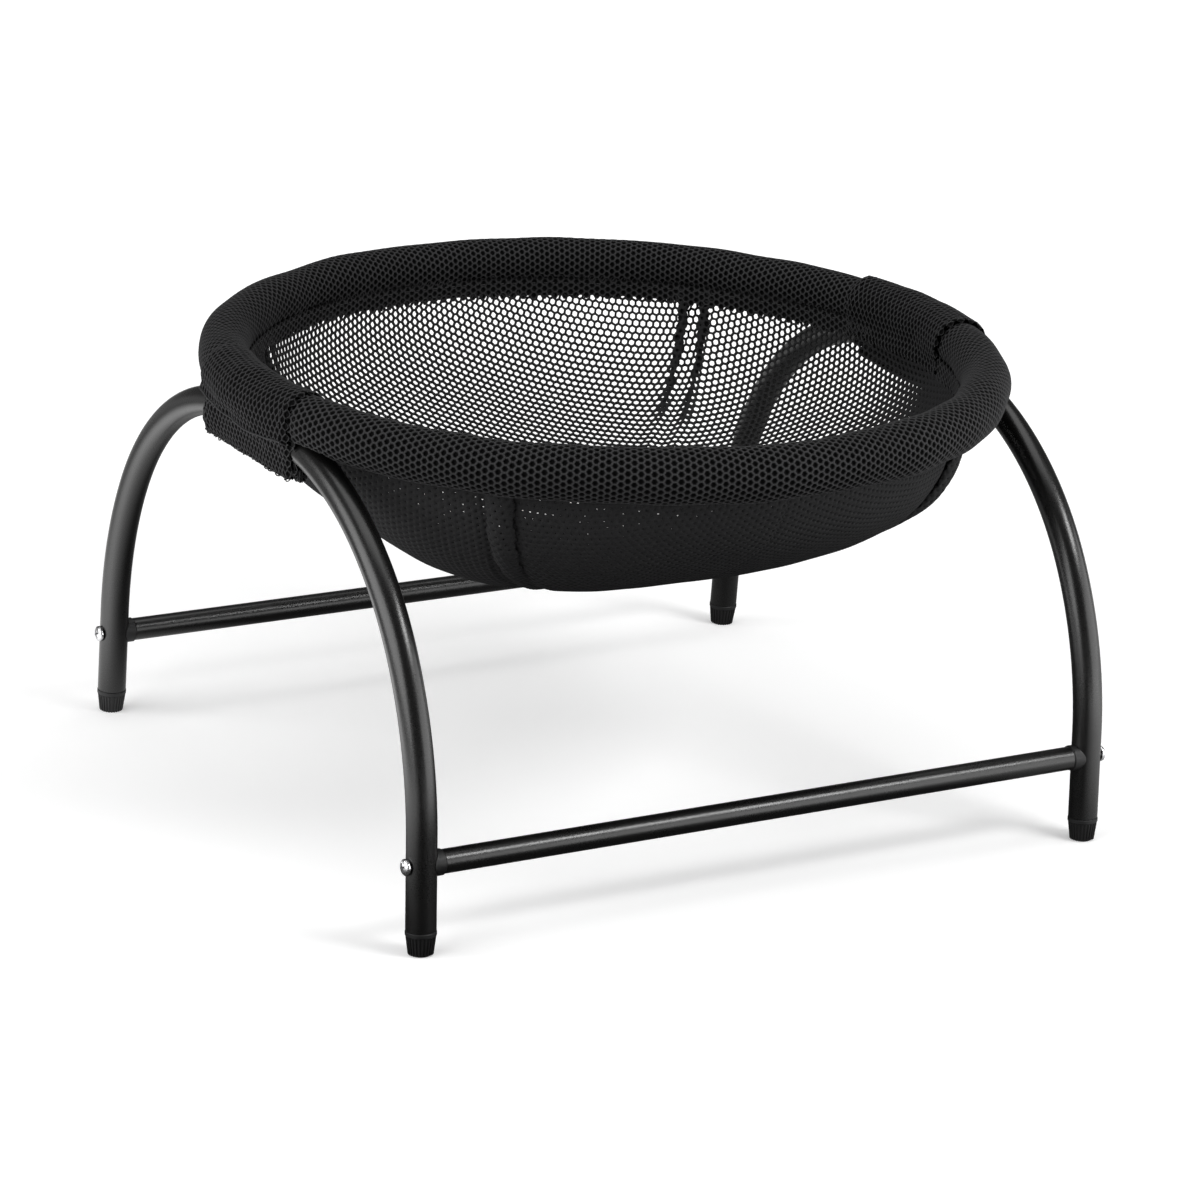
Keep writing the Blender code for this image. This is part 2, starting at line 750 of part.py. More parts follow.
def build_flap(side_name, side):
    """The flap that comes down inside the arch and is pressed to the sleeve's tab."""
    room = SLEEVE_SLACK + GAP + SLEEVE_T / 2
    tab_x = TAB_X - TAB_HALF_GAP - SLEEVE_T / 2
    loops = []
    for angle in sleeve_stations():
        slant = 1 / math.cos(math.radians(angle))
        centre = arch_height(ARCH_X * math.tan(math.radians(angle)))
        path = []
        for turn in FLAP_TURNS:
            way = math.radians(turn)
            x = ARCH_X + (TUBE_R + room) * math.cos(way)
            path.append((x * slant, centre + (TUBE_R + room) * math.sin(way)))
        path.append((tab_x * slant, tab_top(angle)))
        path.append((tab_x * slant, ARCH_TOP - TAB_DROP))
        loops.append(side_loop(angle, side, thickened(path, SLEEVE_T)))
    loft(f"{side_name}_sleeve_flap", loops, MESH_CLOTH, False)


def build_tapes(side_name, side):
    """The hook tape on the flap and the loop tape on the sleeve's tab."""
    bottom = ARCH_TOP - TAB_DROP + TAPE_EDGE
    for kind, way in (("loop", 1), ("hook", -1)):
        shape = bmesh.new()
        bmesh.ops.create_cube(shape, size=1)
        bmesh.ops.scale(shape, vec=(TAPE_T, TAPE_LENGTH, TAPE_H), verts=shape.verts)
        mesh = bpy.data.meshes.new(f"{side_name}_{kind}_tape")
        shape.to_mesh(mesh)
        shape.free()
        tape = add_object(mesh.name, mesh, PARTS, TAPE)
        x = TAB_X + way * (GAP + TAPE_T) / 2
        tape.location = (side * x, 0, bottom + TAPE_H / 2)


for leftover in list(bpy.data.objects):
    bpy.data.objects.remove(leftover)

PARTS = new_collection(PART_NAME)
CUTTERS = new_collection(CUTTER_NAME)

COAT = new_material("black_powder_coat", (0.012, 0.012, 0.013), 0.38, 0.2)
PLASTIC = new_material("black_moulded_plastic", (0.010, 0.010, 0.011), 0.5)
STEEL = new_material("bright_zinc_steel", (0.62, 0.62, 0.62), 0.3, 1.0)
FOAM = new_material("grey_foam", (0.06, 0.06, 0.065), 0.9)
MESH_CLOTH = new_material("charcoal_spacer_mesh", (0.022, 0.022, 0.024), 0.75)
NET_CLOTH = new_material("black_net", (0.010, 0.010, 0.011), 0.7)
TAPE = new_material("black_hook_and_loop", (0.012, 0.012, 0.012), 0.9)

build_arches()
build_crossbars()
for side_label, side_sign in SIDES:
    for end_label, end_sign in ENDS:
        build_bar_joint(side_label, side_sign, end_label, end_sign)
        build_foot(side_label, side_sign, end_label, end_sign)
build_hoop()
build_foam()
build_cover()
build_net()
for side_label, side_sign in SIDES:
    build_sleeve(side_label, side_sign)
    build_flap(side_label, side_sign)
    build_tapes(side_label, side_sign)
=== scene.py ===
"""The looks of the elevated pet bed: finish, cloth and studio, set on the packed frame."""

import math
from types import SimpleNamespace

import bmesh
import bpy
import numpy as np
from bpy.props import FloatProperty, FloatVectorProperty, IntProperty, PointerProperty
from mathutils import Matrix, Vector, noise


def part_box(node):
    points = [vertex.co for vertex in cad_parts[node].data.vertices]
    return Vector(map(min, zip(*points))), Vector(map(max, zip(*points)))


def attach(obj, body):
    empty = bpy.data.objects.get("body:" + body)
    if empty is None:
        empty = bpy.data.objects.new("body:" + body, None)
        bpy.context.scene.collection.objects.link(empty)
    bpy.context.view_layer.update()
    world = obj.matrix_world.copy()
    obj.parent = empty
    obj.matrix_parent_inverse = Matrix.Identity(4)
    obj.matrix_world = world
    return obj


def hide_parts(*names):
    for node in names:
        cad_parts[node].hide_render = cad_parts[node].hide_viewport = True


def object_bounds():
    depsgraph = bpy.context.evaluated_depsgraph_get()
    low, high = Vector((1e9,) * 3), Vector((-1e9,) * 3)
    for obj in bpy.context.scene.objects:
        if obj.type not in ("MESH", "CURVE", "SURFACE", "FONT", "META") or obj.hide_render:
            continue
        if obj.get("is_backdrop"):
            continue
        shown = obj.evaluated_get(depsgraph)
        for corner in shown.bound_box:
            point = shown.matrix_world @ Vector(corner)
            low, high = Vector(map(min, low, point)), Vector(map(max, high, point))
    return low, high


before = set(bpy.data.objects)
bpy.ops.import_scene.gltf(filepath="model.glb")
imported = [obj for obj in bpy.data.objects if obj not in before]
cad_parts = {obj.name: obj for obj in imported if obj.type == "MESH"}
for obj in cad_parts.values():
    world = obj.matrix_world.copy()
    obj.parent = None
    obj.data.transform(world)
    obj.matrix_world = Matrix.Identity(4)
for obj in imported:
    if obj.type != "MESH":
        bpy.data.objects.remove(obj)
CAD_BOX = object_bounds()

bl_info = {
    "name": "Elevated pet bed",
    "version": (1, 0, 0),
    "blender": (4, 5, 0),
    "location": "3D View > Sidebar > Pet Bed",
    "description": "Dresses the pet bed's frame in coated tube, spacer mesh and knitted net",
    "category": "Object",
}

BODY = "root"
SIDES = (("left", -1), ("right", 1))
ENDS = (("front", -1), ("rear", 1))
QUARTERS = (("front", "left"), ("front", "right"), ("rear", "left"), ("rear", "right"))
QUARTER_TURN = math.pi / 2
GAP = 0.0002  # metres between a piece and what it lies on
WELD = 0.000005  # the net's two sides become one where they lie closer than this
TINY, LEAST = 1e-9, 1e-6  # metres, so that nothing is divided by 0
FAR = 9.0  # metres: half the floor's width, and further out than any piece
PIT_LIP_SHADE = 0.5  # painted shade: how dark a pit's lip is painted against its floor
LOOP_TURN = 0.9  # radians that a loose yarn loop may turn either way
LOOP_SIZES = (0.55, 1.25)  # least and most of a loose loop's size

# Soft unevenness of the cloth: how far it moves, the size of its waves, and its seed
WAVES = {
    "rim_drift": (0.0011, 0.35, 1),
    "rim_sway": (0.0012, 0.28, 2),
    "rim_swell": (1.0, 0.16, 3),
    "net_sag": (0.0012, 0.055, 5),
    "net_crumple": (0.0005, 0.021, 6),
    "band_sway": (0.0012, 0.25, 8),
    "band_fray": (0.0005, 0.08, 9),
    "band_swell": (0.0005, 0.1, 10),
    "sleeve_skew": (0.0015, 0.03, 0),
    "sleeve_drift": (0.0010, 0.035, 1),
    "sleeve_pucker": (0.0008, 0.022, 0),
    "sleeve_crumple": (0.0004, 0.009, 4),
}


# Sizes and colours


def length(name, description, default):
    """A size in metres that the sidebar shows."""
    return FloatProperty(
        name=name, description=description, default=default, min=0.0, precision=4, unit="LENGTH"
    )


def angle(name, description, default):
    """A size in degrees, kept in radians."""
    return FloatProperty(
        name=name, description=description, default=math.radians(default), subtype="ANGLE"
    )


def share(name, description, default):
    """A size that is a share of another."""
    return FloatProperty(
        name=name, description=description, default=default, min=0.0, max=4.0, subtype="FACTOR"
    )


def count(name, description, default):
    """A number of sides, ribs or steps."""
    return IntProperty(name=name, description=description, default=default, min=3)


def colour(name, description, default):
    """A colour of one finish."""
    return FloatVectorProperty(
        name=name, description=description, default=default, min=0.0, max=1.0, subtype="COLOR"
    )


class FrameSizes(bpy.types.PropertyGroup):
    """Sizes of the bent arches and the crossbars"""

    tube_d: length("Leg tube", "Outer diameter of the two bent arches", 0.016)
    spacing: length("Arch spacing", "Distance between the arches' centre planes", 0.406)
    foot_spread: length("Foot spread", "Distance between front and rear feet", 0.3854)
    lean: angle("Leg lean", "How far each leg leans inwards", 3.1)
    straight_h: length("Straight leg", "Height at which the bend starts", 0.0605)
    shoulder_r: length("Shoulder bend", "Radius of the bend above the legs", 0.190)
    shoulder_end: angle("Shoulder end", "Slope at which the tighter bend starts", 30.4)
    crown_r: length("Crown bend", "Radius of the bend at the top", 0.158)
    foot_top: length("Foot cap", "Height of the caps below the tubes", 0.0131)
    bar_d: length("Bar tube", "Outer diameter of the crossbars", 0.0127)
    bar_h: length("Bar height", "Height of the crossbars' axes", 0.0475)
    sides: count("Tube sides", "Faces round each tube", 40)


class JointSizes(bpy.types.PropertyGroup):
    """Sizes of the saddles and screws at the crossbar ends"""

    saddle_d: length("Saddle", "Outer diameter of the saddle collars", 0.0138)
    saddle_neck: length("Saddle neck", "Length of a collar between bar and leg", 0.0035)
    head_d: length("Screw head", "Diameter of the pan heads", 0.0088)
    head_h: length("Head height", "Height of the pan heads", 0.0030)
    shank_d: length("Screw shank", "Diameter of the screws", 0.0050)
    shank_l: length("Screw length", "Length of the screws below the head", 0.0390)
    slot_w: length("Slot width", "Width of the recess cross", 0.0012)
    slot_l: length("Slot length", "Length of the recess cross", 0.0050)
    slot_depth: length("Slot depth", "Depth of the recess cross", 0.0016)


class FootSizes(bpy.types.PropertyGroup):
    """Sizes of the ribbed foot caps"""

    collar_d: length("Collar", "Diameter of the smooth collar under the tube", 0.0164)
    collar_h: length("Collar height", "Height of the smooth collar", 0.0024)
    taper_h: length("Taper height", "Height of the ribbed taper", 0.0104)
    toe_d: length("Toe", "Diameter at the floor", 0.0124)
    rib_r: length("Rib", "Radius of each rib", 0.00052)
    ribs: count("Ribs", "Ribs round each cap", 26)


class RimSizes(bpy.types.PropertyGroup):
    """Sizes of the padded rim"""

    hoop_r: length("Hoop radius", "Radius of the hoop's centre line", 0.2066)
    centre_z: length("Roll height", "Height of the middle of the rim roll", 0.2382)
    width: length("Roll width", "Width of the rim roll", 0.0270)
    height: length("Roll thickness", "Height of the rim roll", 0.0294)
    seam_low: angle("Lower lip", "Where the cover's lower lip lies on the roll", -140.0)
    seam_high: angle("Upper lip", "Where the cover's upper lip lies on the roll", 207.0)
    dent_r: length("Arch dent", "Radius of the dent where an arch carries the rim", 0.0102)
    lump: length("Lumps", "How far the padding swells and sinks", 0.0013)


class ClothSizes(bpy.types.PropertyGroup):
    """Sizes of the spacer mesh's pits and the net's holes"""

    long_pitch: length("Long pitch", "Distance between holes in one row", 0.0062)
    short_pitch: length("Short pitch", "Distance between every second row", 0.0040)
    pit_share: share("Pit", "Width of a pit against its cell", 0.62)
    lip_drop: length("Strand roundness", "How far a strand's edge lies below its crown", 0.00045)
    pit_depth: length("Pit depth", "Depth of a pit in the spacer mesh", 0.0014)
    pit_floor: share("Pit floor", "Width of a pit's floor against its mouth", 0.86)
    pit_stretch: share("Pit stretch", "Length of a pit against one that isn't stretched", 1.0)
    hole_share: share("Net hole", "Width of a net hole against its cell", 0.69)
    strand: length("Net strand", "Thickness of the net", 0.0016)
    lip: share("Net lip", "Height of a hole's edge against the strand's crown", 0.62)
    sleeve_long: length("Sleeve long pitch", "Distance between a sleeve's pits in one row", 0.0068)
    sleeve_short: length("Sleeve short pitch", "Distance between every second of its rows", 0.0037)
    sleeve_reach: length("Sleeve slant", "How blunt a sleeve's stretched pits end", 0.0007)
    sleeve_pit: share("Sleeve pit", "Width of a sleeve's pit against its cell", 0.64)
    sleeve_stretch: share("Sleeve stretch", "How much longer a sleeve's pits are drawn", 1.25)


class NetSizes(bpy.types.PropertyGroup):
    """Sizes of the net bowl and its four box pleats"""

    seam_r: length("Seam radius", "Radius of the net at the rim's seam", 0.1955)
    seam_z: length("Seam height", "Height of the net at the rim's seam", 0.2309)
    depth: length("Depth", "Depth of the bowl below its seam", 0.1030)
    base_power: share("Base fullness", "How full the bowl's base is", 1.9)
    side_power: share("Side fullness", "How full the bowl's sides are", 2.1)
    bulge: share("Corner bulge", "How much fuller the bowl is under its pleats", 0.07)
    cut_r: length("Cut radius", "Radius of the flat round cut", 0.2121)
    face: length("Pleat face", "Half the width of the widest pleat's face at the seam", 0.0100)
    faces: FloatVectorProperty(
        name="Pleat widths", description="Each face against the widest, from the rear right on",
        default=(0.95, 0.85, 0.75, 0.9), size=4, min=0.1, max=1.0,
    )
    tuck: length("Pleat tuck", "Depth of the fold on each side of a pleat", 0.0065)
    layer: length("Layer step", "Distance between folded layers", 0.0017)
    fade: length("Pleat length", "How far down the wall the folds reach", 0.0950)
    gather: length("Gather", "How far the knit is drawn shut beside a fold", 0.0026)
    shut: share("Shut hole", "Width of a hole in a fold against an open one", 0.30)
    side_bulge: share("Side bulge", "How much fuller the bowl is beside its front pleats", 1.2)
    front_hole: share("Front hole", "Width of a hole in the front wall against the rear", 0.36)
    band_rise: length("Band top", "How far the seam band reaches above the seam", 0.0026)
    band_drop: length("Band bottom", "How far the seam band reaches below the seam", 0.0084)
    band_t: length("Band thickness", "Thickness of the seam band", 0.0009)


class SleeveSizes(bpy.types.PropertyGroup):
    """Sizes of the sleeves that hold the rim on the arches"""

    front: angle("Front end", "How far a sleeve reaches round the rim from the arch's middle", 12.9)
    rear: angle("Rear end", "How far a sleeve reaches round the rim to the rear", 15.0)
    room: length("Slack", "Room between the rim and a sleeve's outer side", 0.0022)
    thickness: length("Thickness", "Thickness of a sleeve's mesh", 0.0012)
    inner_drop: length("Inner end", "How far a sleeve reaches below the seam inside", 0.0090)
    tab_drop: length("Tab", "How far the tab reaches below the top of the arch", 0.0180)
    tab_out: length("Tab stand", "How far the tab stands out at its front end", 0.0040)
    tab_flare: length("Tab flare", "How much further it stands out at its rear end", 0.0038)
    tab_in: share("Tab turn", "How much of that the tab's bottom edge turns back", 0.4)
    tab_lead: length("Tab corner", "How far the tab's front corner is drawn to the rear", 0.0070)
    curl: length("Edge roll", "Width over which a sleeve's edge rolls under", 0.0030)
    edge_w: length("Raw edge", "Width of the turned-in cloth that shows past the edge", 0.0034)
    edge_t: length("Raw edge thickness", "Thickness of the turned-in cloth", 0.0014)
    edge_depth: length("Raw edge depth", "How far the turned-in cloth lies under the mesh", 0.0038)
    fold: length("Fold", "Width of the pressed ridge above the tab", 0.0010)
    loop_r: length("Loop", "Radius of the loose yarn loops on a raw edge", 0.0014)
    yarn: length("Yarn", "Radius of the loose yarn", 0.00032)
    stitch: length("Stitch", "Length of one stitch", 0.0027)
    stitch_step: length("Stitch step", "Distance from one stitch to the next", 0.0038)
    thread: length("Thread", "Radius of the sewing thread", 0.00028)


class FinishColours(bpy.types.PropertyGroup):
    """Colours of the bed's finishes"""

    coat: colour("Powder coat", "Satin black coat on the tubes", (0.0018, 0.0017, 0.0016))
    plastic: colour("Moulded plastic", "Saddles and foot caps", (0.0085, 0.0085, 0.0088))
    zinc: colour("Zinc", "Screws and inserts", (0.66, 0.66, 0.67))
    spacer: colour("Spacer mesh", "Crowns of the strands on rim and sleeves", (0.037, 0.037, 0.038))
    # Painted shade: the near-black pit colour stands for the shade down in the spacer mesh's pits
    pit: colour("Pit", "Floor of the pits", (0.0012, 0.0012, 0.0013))
    net: colour("Net", "Knitted net of the bowl", (0.0205, 0.0205, 0.0211))
    binding: colour("Binding", "Turned-in cloth and tapes", (0.0050, 0.0050, 0.0052))
    foam: colour("Foam", "Padding inside the rim", (0.050, 0.050, 0.055))
    thread: colour("Thread", "Sewing thread", (0.020, 0.020, 0.021))
    floor: colour("Floor", "Studio floor", (0.05, 0.05, 0.05))


GROUPS = {
    "bed_frame": FrameSizes,
    "bed_joints": JointSizes,
    "bed_feet": FootSizes,
    "bed_rim": RimSizes,
    "bed_cloth": ClothSizes,
    "bed_net": NetSizes,
    "bed_sleeves": SleeveSizes,
    "bed_colours": FinishColours,
}


# Small helpers


def add_object(name, data):
    """A new object in the scene, at the origin."""
    made = bpy.data.objects.new(name, data)
    bpy.context.scene.collection.objects.link(made)
    return made


def mesh_of(name, points, faces, edges=()):
    """A mesh from points and faces."""
    mesh = bpy.data.meshes.new(name)
    mesh.from_pydata([tuple(point) for point in points], [tuple(edge) for edge in edges],
                     [tuple(int(corner) for corner in face) for face in faces])
    mesh.update()
    return mesh


def mark_faces(mesh, name, kind, values):
    """Keeps a number or a direction on each face of a mesh."""
    made = mesh.attributes.new(name, kind, "FACE")
    made.data.foreach_set("vector" if kind == "FLOAT_VECTOR" else "value", np.ravel(values))


def soften(mesh, sharp=40.0):
    """Smooth shading with the sharp edges kept."""
    mesh.shade_smooth()
    mesh.set_sharp_from_angle(angle=math.radians(sharp))


def baked(item, name=None):
    """The item with its modifiers turned into a plain mesh."""
    bpy.context.view_layer.update()
    graph = bpy.context.evaluated_depsgraph_get()
    mesh = bpy.data.meshes.new_from_object(
        item.evaluated_get(graph), preserve_all_data_layers=True, depsgraph=graph
    )
    item.modifiers.clear()
    item.data = mesh
    mesh.name = name or item.name
    return item


def grown(name, data, maker, surface, **inputs):
    """A plain mesh piece that a node tree makes from some base geometry and named inputs."""
    tree = tree_of(maker)
    inputs["material"] = finish_of(surface)
    item = add_object(name, data)
    modifier = item.modifiers.new(tree.name, "NODES")
    modifier.node_group = tree
    for socket in tree.interface.items_tree:
        key = socket.name.lower().replace(" ", "_")
        if socket.in_out == "INPUT" and key in inputs:
            modifier[socket.identifier] = inputs[key]
    return baked(item)


def finish(item, stands_for=()):
    """Puts a finished piece on the bed and hides the solids that it stands for."""
    if not item.data.materials:
        raise RuntimeError(f"{item.name} has no material")
    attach(item, BODY)
    if stands_for:
        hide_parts(*stands_for)
    return item


def dress(node, material):
    """Gives a solid of the frame that stays its finish."""
    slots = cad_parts[node].material_slots
    if not slots:
        raise RuntimeError(f"{node} has no material slot")
    for slot in slots:
        slot.link = "OBJECT"
        slot.material = material


def smoothstep(value):
    """A soft ramp from 0 to 1."""
    inside = np.clip(value, 0.0, 1.0)
    return inside * inside * (3.0 - 2.0 * inside)


def ripple(points, size, seed):
    """Soft noise from -1 to 1 at each point, with features of one size."""
    move = Vector((seed * 7.13, seed * 3.71, seed * 5.29))
    return np.array([noise.noise(Vector(point) / size + move) for point in points])


def waves(points, name, seed=0):
    """One kind of unevenness at each point. The seed gives each sleeve its own."""
    height, size, own = WAVES[name]
    return height * ripple(points, size, seed + own)


def run_of(points):
    """The distance run along a line of points, at each of them."""
    steps = np.linalg.norm(np.diff(points, axis=0), axis=1)
    return np.concatenate([[0.0], np.cumsum(steps)])


def read_table(table, row, column):
    """Values of a table at places between its rows and columns."""
    low_row = np.minimum(row.astype(int), table.shape[0] - 2)
    low_column = np.minimum(column.astype(int), table.shape[1] - 2)
    up, along = row - low_row, column - low_column
    if table.ndim > 2:
        up, along = up[:, None], along[:, None]
    near, far = low_row + 1, low_column + 1
    first = table[low_row, low_column] * (1 - along) + table[low_row, far] * along
    second = table[near, low_column] * (1 - along) + table[near, far] * along
    return first * (1 - up) + second * up


def round_bed(radius, around, height):
    """Points at some distances from the bed's middle, angles round it and heights."""
    return np.stack([radius * np.cos(around), radius * np.sin(around), height], axis=1)


# Node trees that repeat a shape along a path or over a surface


def add_node(tree, kind, inputs=None, **settings):
    """A node with its settings, its inputs linked or set."""
    made = tree.nodes.new(kind)
    for key, value in settings.items():
        setattr(made, key, value)
    for key, value in (inputs or {}).items():
        if isinstance(value, bpy.types.NodeSocket):
            tree.links.new(value, made.inputs[key])
        else:
            made.inputs[key].default_value = value
    return made


def new_tree(name, *numbers, **others):
    """A geometry tree with its inputs, named or by kind, and its first and last nodes."""
    tree = bpy.data.node_groups.new(name, "GeometryNodeTree")
    face = tree.interface
    face.new_socket("Geometry", in_out="INPUT", socket_type="NodeSocketGeometry")
    for label in numbers:
        face.new_socket(label, in_out="INPUT", socket_type="NodeSocketFloat")
    for kind, label in others.items():
        face.new_socket(label, in_out="INPUT", socket_type=f"NodeSocket{kind}")
    face.new_socket("Material", in_out="INPUT", socket_type="NodeSocketMaterial")
    face.new_socket("Geometry", in_out="OUTPUT", socket_type="NodeSocketGeometry")
    return tree, tree.nodes.new("NodeGroupInput").outputs, tree.nodes.new("NodeGroupOutput")


def close_tree(tree, given, end, shape):
    """Ends a tree: its instances made real, and its material set."""
    real = add_node(tree, "GeometryNodeRealizeInstances", {"Geometry": shape})
    smooth = add_node(tree, "GeometryNodeSetShadeSmooth", {"Geometry": real.outputs[0]})
    dressed = add_node(
        tree, "GeometryNodeSetMaterial",
        {"Geometry": smooth.outputs[0], "Material": given["Material"]},
    )
    tree.links.new(dressed.outputs[0], end.inputs[0])
    return tree


def math_node(tree, operation, *values):
    """The result of one sum on numbers."""
    return add_node(tree, "ShaderNodeMath", dict(enumerate(values)), operation=operation).outputs[0]


def scaled(tree, vector, factor):
    """A vector times a number."""
    return add_node(
        tree, "ShaderNodeVectorMath", {0: vector, "Scale": factor}, operation="SCALE"
    ).outputs[0]


def vector_node(tree, operation, *values):
    """One sum on directions."""
    return add_node(tree, "ShaderNodeVectorMath", dict(enumerate(values)), operation=operation)


def along_path(tree, given, axis):
    """Evenly spaced points on a path of edges, and the turn that lays an axis along it."""
    path = add_node(tree, "GeometryNodeMeshToCurve", {"Mesh": given["Geometry"]})
    spaced = add_node(
        tree, "GeometryNodeResampleCurve",
        {"Curve": path.outputs[0], "Length": given["Step"]}, mode="LENGTH",
    )
    tangent = add_node(tree, "GeometryNodeInputTangent")
    return spaced.outputs[0], facing(tree, tangent.outputs[0], axis)


def facing(tree, direction, axis):
    """The turn that points an axis in a direction."""
    return add_node(
        tree, "FunctionNodeAlignRotationToVector", {"Vector": direction}, axis=axis
    ).outputs[0]


def placed(tree, points, model, turn, scale=None):
    """A model set at each point, turned and sized."""
    given = {"Points": points, "Instance": model, "Rotation": turn}
    if scale is not None:
        given["Scale"] = scale
    return add_node(tree, "GeometryNodeInstanceOnPoints", given).outputs[0]


def swept(tree, path, sides, radius, capped=False):
    """A round section swept along a path."""
    ring = circle(tree, sides, radius)
    return add_node(
        tree, "GeometryNodeCurveToMesh",
        {"Curve": path, "Profile Curve": ring, "Fill Caps": capped},
    ).outputs[0]


def circle(tree, sides, radius):
    """A ring of edges."""
    return add_node(
        tree, "GeometryNodeCurvePrimitiveCircle", {"Resolution": sides, "Radius": radius}
    ).outputs[0]


def tube_tree():
    """A round tube along a path of edges."""
    tree, given, end = new_tree("bed_tube", "Diameter", Int="Sides")
    path = add_node(tree, "GeometryNodeMeshToCurve", {"Mesh": given["Geometry"]})
    radius = math_node(tree, "DIVIDE", given["Diameter"], 2.0)
    tube = swept(tree, path.outputs[0], given["Sides"], radius, capped=True)
    return close_tree(tree, given, end, tube)


def read_value(tree, name, kind="FLOAT"):
    """A value that was kept on the mesh."""
    return add_node(
        tree, "GeometryNodeInputNamedAttribute", {"Name": name}, data_type=kind
    ).outputs[0]


def kept_value(tree, mesh, name, value, kind="FLOAT", where=None):
    """The mesh with a value kept on its points, or only on some of them."""
    given = {"Geometry": mesh, "Name": name, "Value": value}
    if where is not None:
        given["Selection"] = where
    return add_node(
        tree, "GeometryNodeStoreNamedAttribute", given, data_type=kind, domain="POINT"
    ).outputs[0]


def inset_cells(tree, mesh, drop, width, stretch):
    """Each face of a mesh drawn in, stretched along its row and lowered inside a border."""
    ring = add_node(
        tree, "GeometryNodeExtrudeMesh",
        {"Mesh": mesh, "Offset Scale": math_node(tree, "MULTIPLY", drop, -1.0), "Individual": True},
        mode="FACES",
    )
    mouth = ring.outputs["Top"]
    drawn = add_node(
        tree, "GeometryNodeScaleElements",
        {"Geometry": ring.outputs["Mesh"], "Selection": mouth, "Scale": width}, domain="FACE",
    )
    longer = add_node(
        tree, "GeometryNodeScaleElements",
        {"Geometry": drawn.outputs[0], "Selection": mouth, "Scale": stretch},
        domain="FACE", scale_mode="SINGLE_AXIS",
    )
    tree.links.new(read_value(tree, "along", "FLOAT_VECTOR"), longer.inputs["Axis"])
    return longer.outputs[0], mouth


def spacer_tree():
    """Spacer mesh: each cell of a sheet becomes rounded strands round a deep pit, marked for
    painted shade.
    """
    tree, given, end = new_tree(
        "spacer_mesh", "Pit share", "Strand roundness", "Pit depth", "Pit floor", "Pit stretch"
    )
    strands, mouth = inset_cells(
        tree, given["Geometry"], given["Strand roundness"], given["Pit share"], given["Pit stretch"]
    )
    # The "pit" value marks where the finish paints shade: half on each pit's lip, full on its floor
    lip = kept_value(tree, strands, "pit", math_node(tree, "MULTIPLY", mouth, PIT_LIP_SHADE))
    sink = math_node(tree, "SUBTRACT", given["Strand roundness"], given["Pit depth"])
    deeper = add_node(
        tree, "GeometryNodeExtrudeMesh",
        {"Mesh": lip, "Selection": mouth, "Individual": True, "Offset Scale": sink}, mode="FACES",
    )
    floor = add_node(
        tree, "GeometryNodeScaleElements",
        {"Geometry": deeper.outputs["Mesh"], "Selection": deeper.outputs["Top"],
         "Scale": given["Pit floor"]},
        domain="FACE",
    )
    marked = kept_value(tree, floor.outputs[0], "pit", 1.0, where=deeper.outputs["Top"])
    return close_tree(tree, given, end, marked)


def net_tree():
    """Knitted net: each cell of a sheet becomes deep rounded strands round an open hole."""
    tree, given, end = new_tree("knitted_net", "Hole share", "Strand", "Lip")
    normal = add_node(tree, "GeometryNodeInputNormal").outputs[0]
    place = add_node(tree, "GeometryNodeInputPosition").outputs[0]
    sheet = kept_value(tree, given["Geometry"], "out", normal, "FLOAT_VECTOR")
    width = math_node(tree, "MULTIPLY", given["Hole share"], read_value(tree, "open"))
    rings, mouth = inset_cells(tree, sheet, 0.0, width, 1.0)
    half = math_node(tree, "DIVIDE", given["Strand"], 2.0)
    lower = math_node(tree, "MULTIPLY", half, math_node(tree, "SUBTRACT", 1.0, given["Lip"]))
    rise = math_node(tree, "SUBTRACT", half, math_node(tree, "MULTIPLY", lower, mouth))
    marked = kept_value(tree, kept_value(tree, rings, "home", place, "FLOAT_VECTOR"), "rise", rise)
    opened = add_node(
        tree, "GeometryNodeDeleteGeometry", {"Geometry": marked, "Selection": mouth}, domain="FACE"
    ).outputs[0]
    home = read_value(tree, "home", "FLOAT_VECTOR")
    step = scaled(tree, read_value(tree, "out", "FLOAT_VECTOR"), read_value(tree, "rise"))
    above = vector_node(tree, "ADD", home, step).outputs[0]
    below = vector_node(tree, "SUBTRACT", home, step).outputs[0]
    front = add_node(tree, "GeometryNodeSetPosition", {"Geometry": opened, "Position": above})
    flipped = add_node(tree, "GeometryNodeFlipFaces", {"Mesh": opened})
    back = add_node(
        tree, "GeometryNodeSetPosition", {"Geometry": flipped.outputs[0], "Position": below}
    )
    beside = add_node(tree, "GeometryNodeInputMeshEdgeNeighbors").outputs[0]
    rim = add_node(
        tree, "FunctionNodeCompare", {2: beside, 3: 1}, data_type="INT", operation="EQUAL"
    )
    walls = add_node(
        tree, "GeometryNodeExtrudeMesh",
        {"Mesh": front.outputs[0], "Selection": rim.outputs[0], "Offset Scale": 0.0}, mode="EDGES",
    )
    sunk = add_node(
        tree, "GeometryNodeSetPosition",
        {"Geometry": walls.outputs["Mesh"], "Selection": walls.outputs["Top"], "Position": below},
    )
    layers = add_node(tree, "GeometryNodeJoinGeometry")
    for side in (sunk, back):
        tree.links.new(side.outputs[0], layers.inputs[0])
    welded = add_node(
        tree, "GeometryNodeMergeByDistance", {"Geometry": layers.outputs[0], "Distance": WELD}
    )
    return close_tree(tree, given, end, welded.outputs[0])


def stitch_tree():
    """A run of stitches along a path of edges."""
    tree, given, end = new_tree("stitch_run", "Step", "Stitch", "Thread")
    points, turn = along_path(tree, given, "Z")
    bead = add_node(tree, "GeometryNodeMeshUVSphere", {"Segments": 6, "Rings": 5, "Radius": 1.0})
    size = add_node(tree, "ShaderNodeCombineXYZ", {
        "X": given["Thread"], "Y": given["Thread"],
        "Z": math_node(tree, "DIVIDE", given["Stitch"], 2.0),
    })
    run = placed(tree, points, bead.outputs[0], turn, size.outputs[0])
    return close_tree(tree, given, end, run)


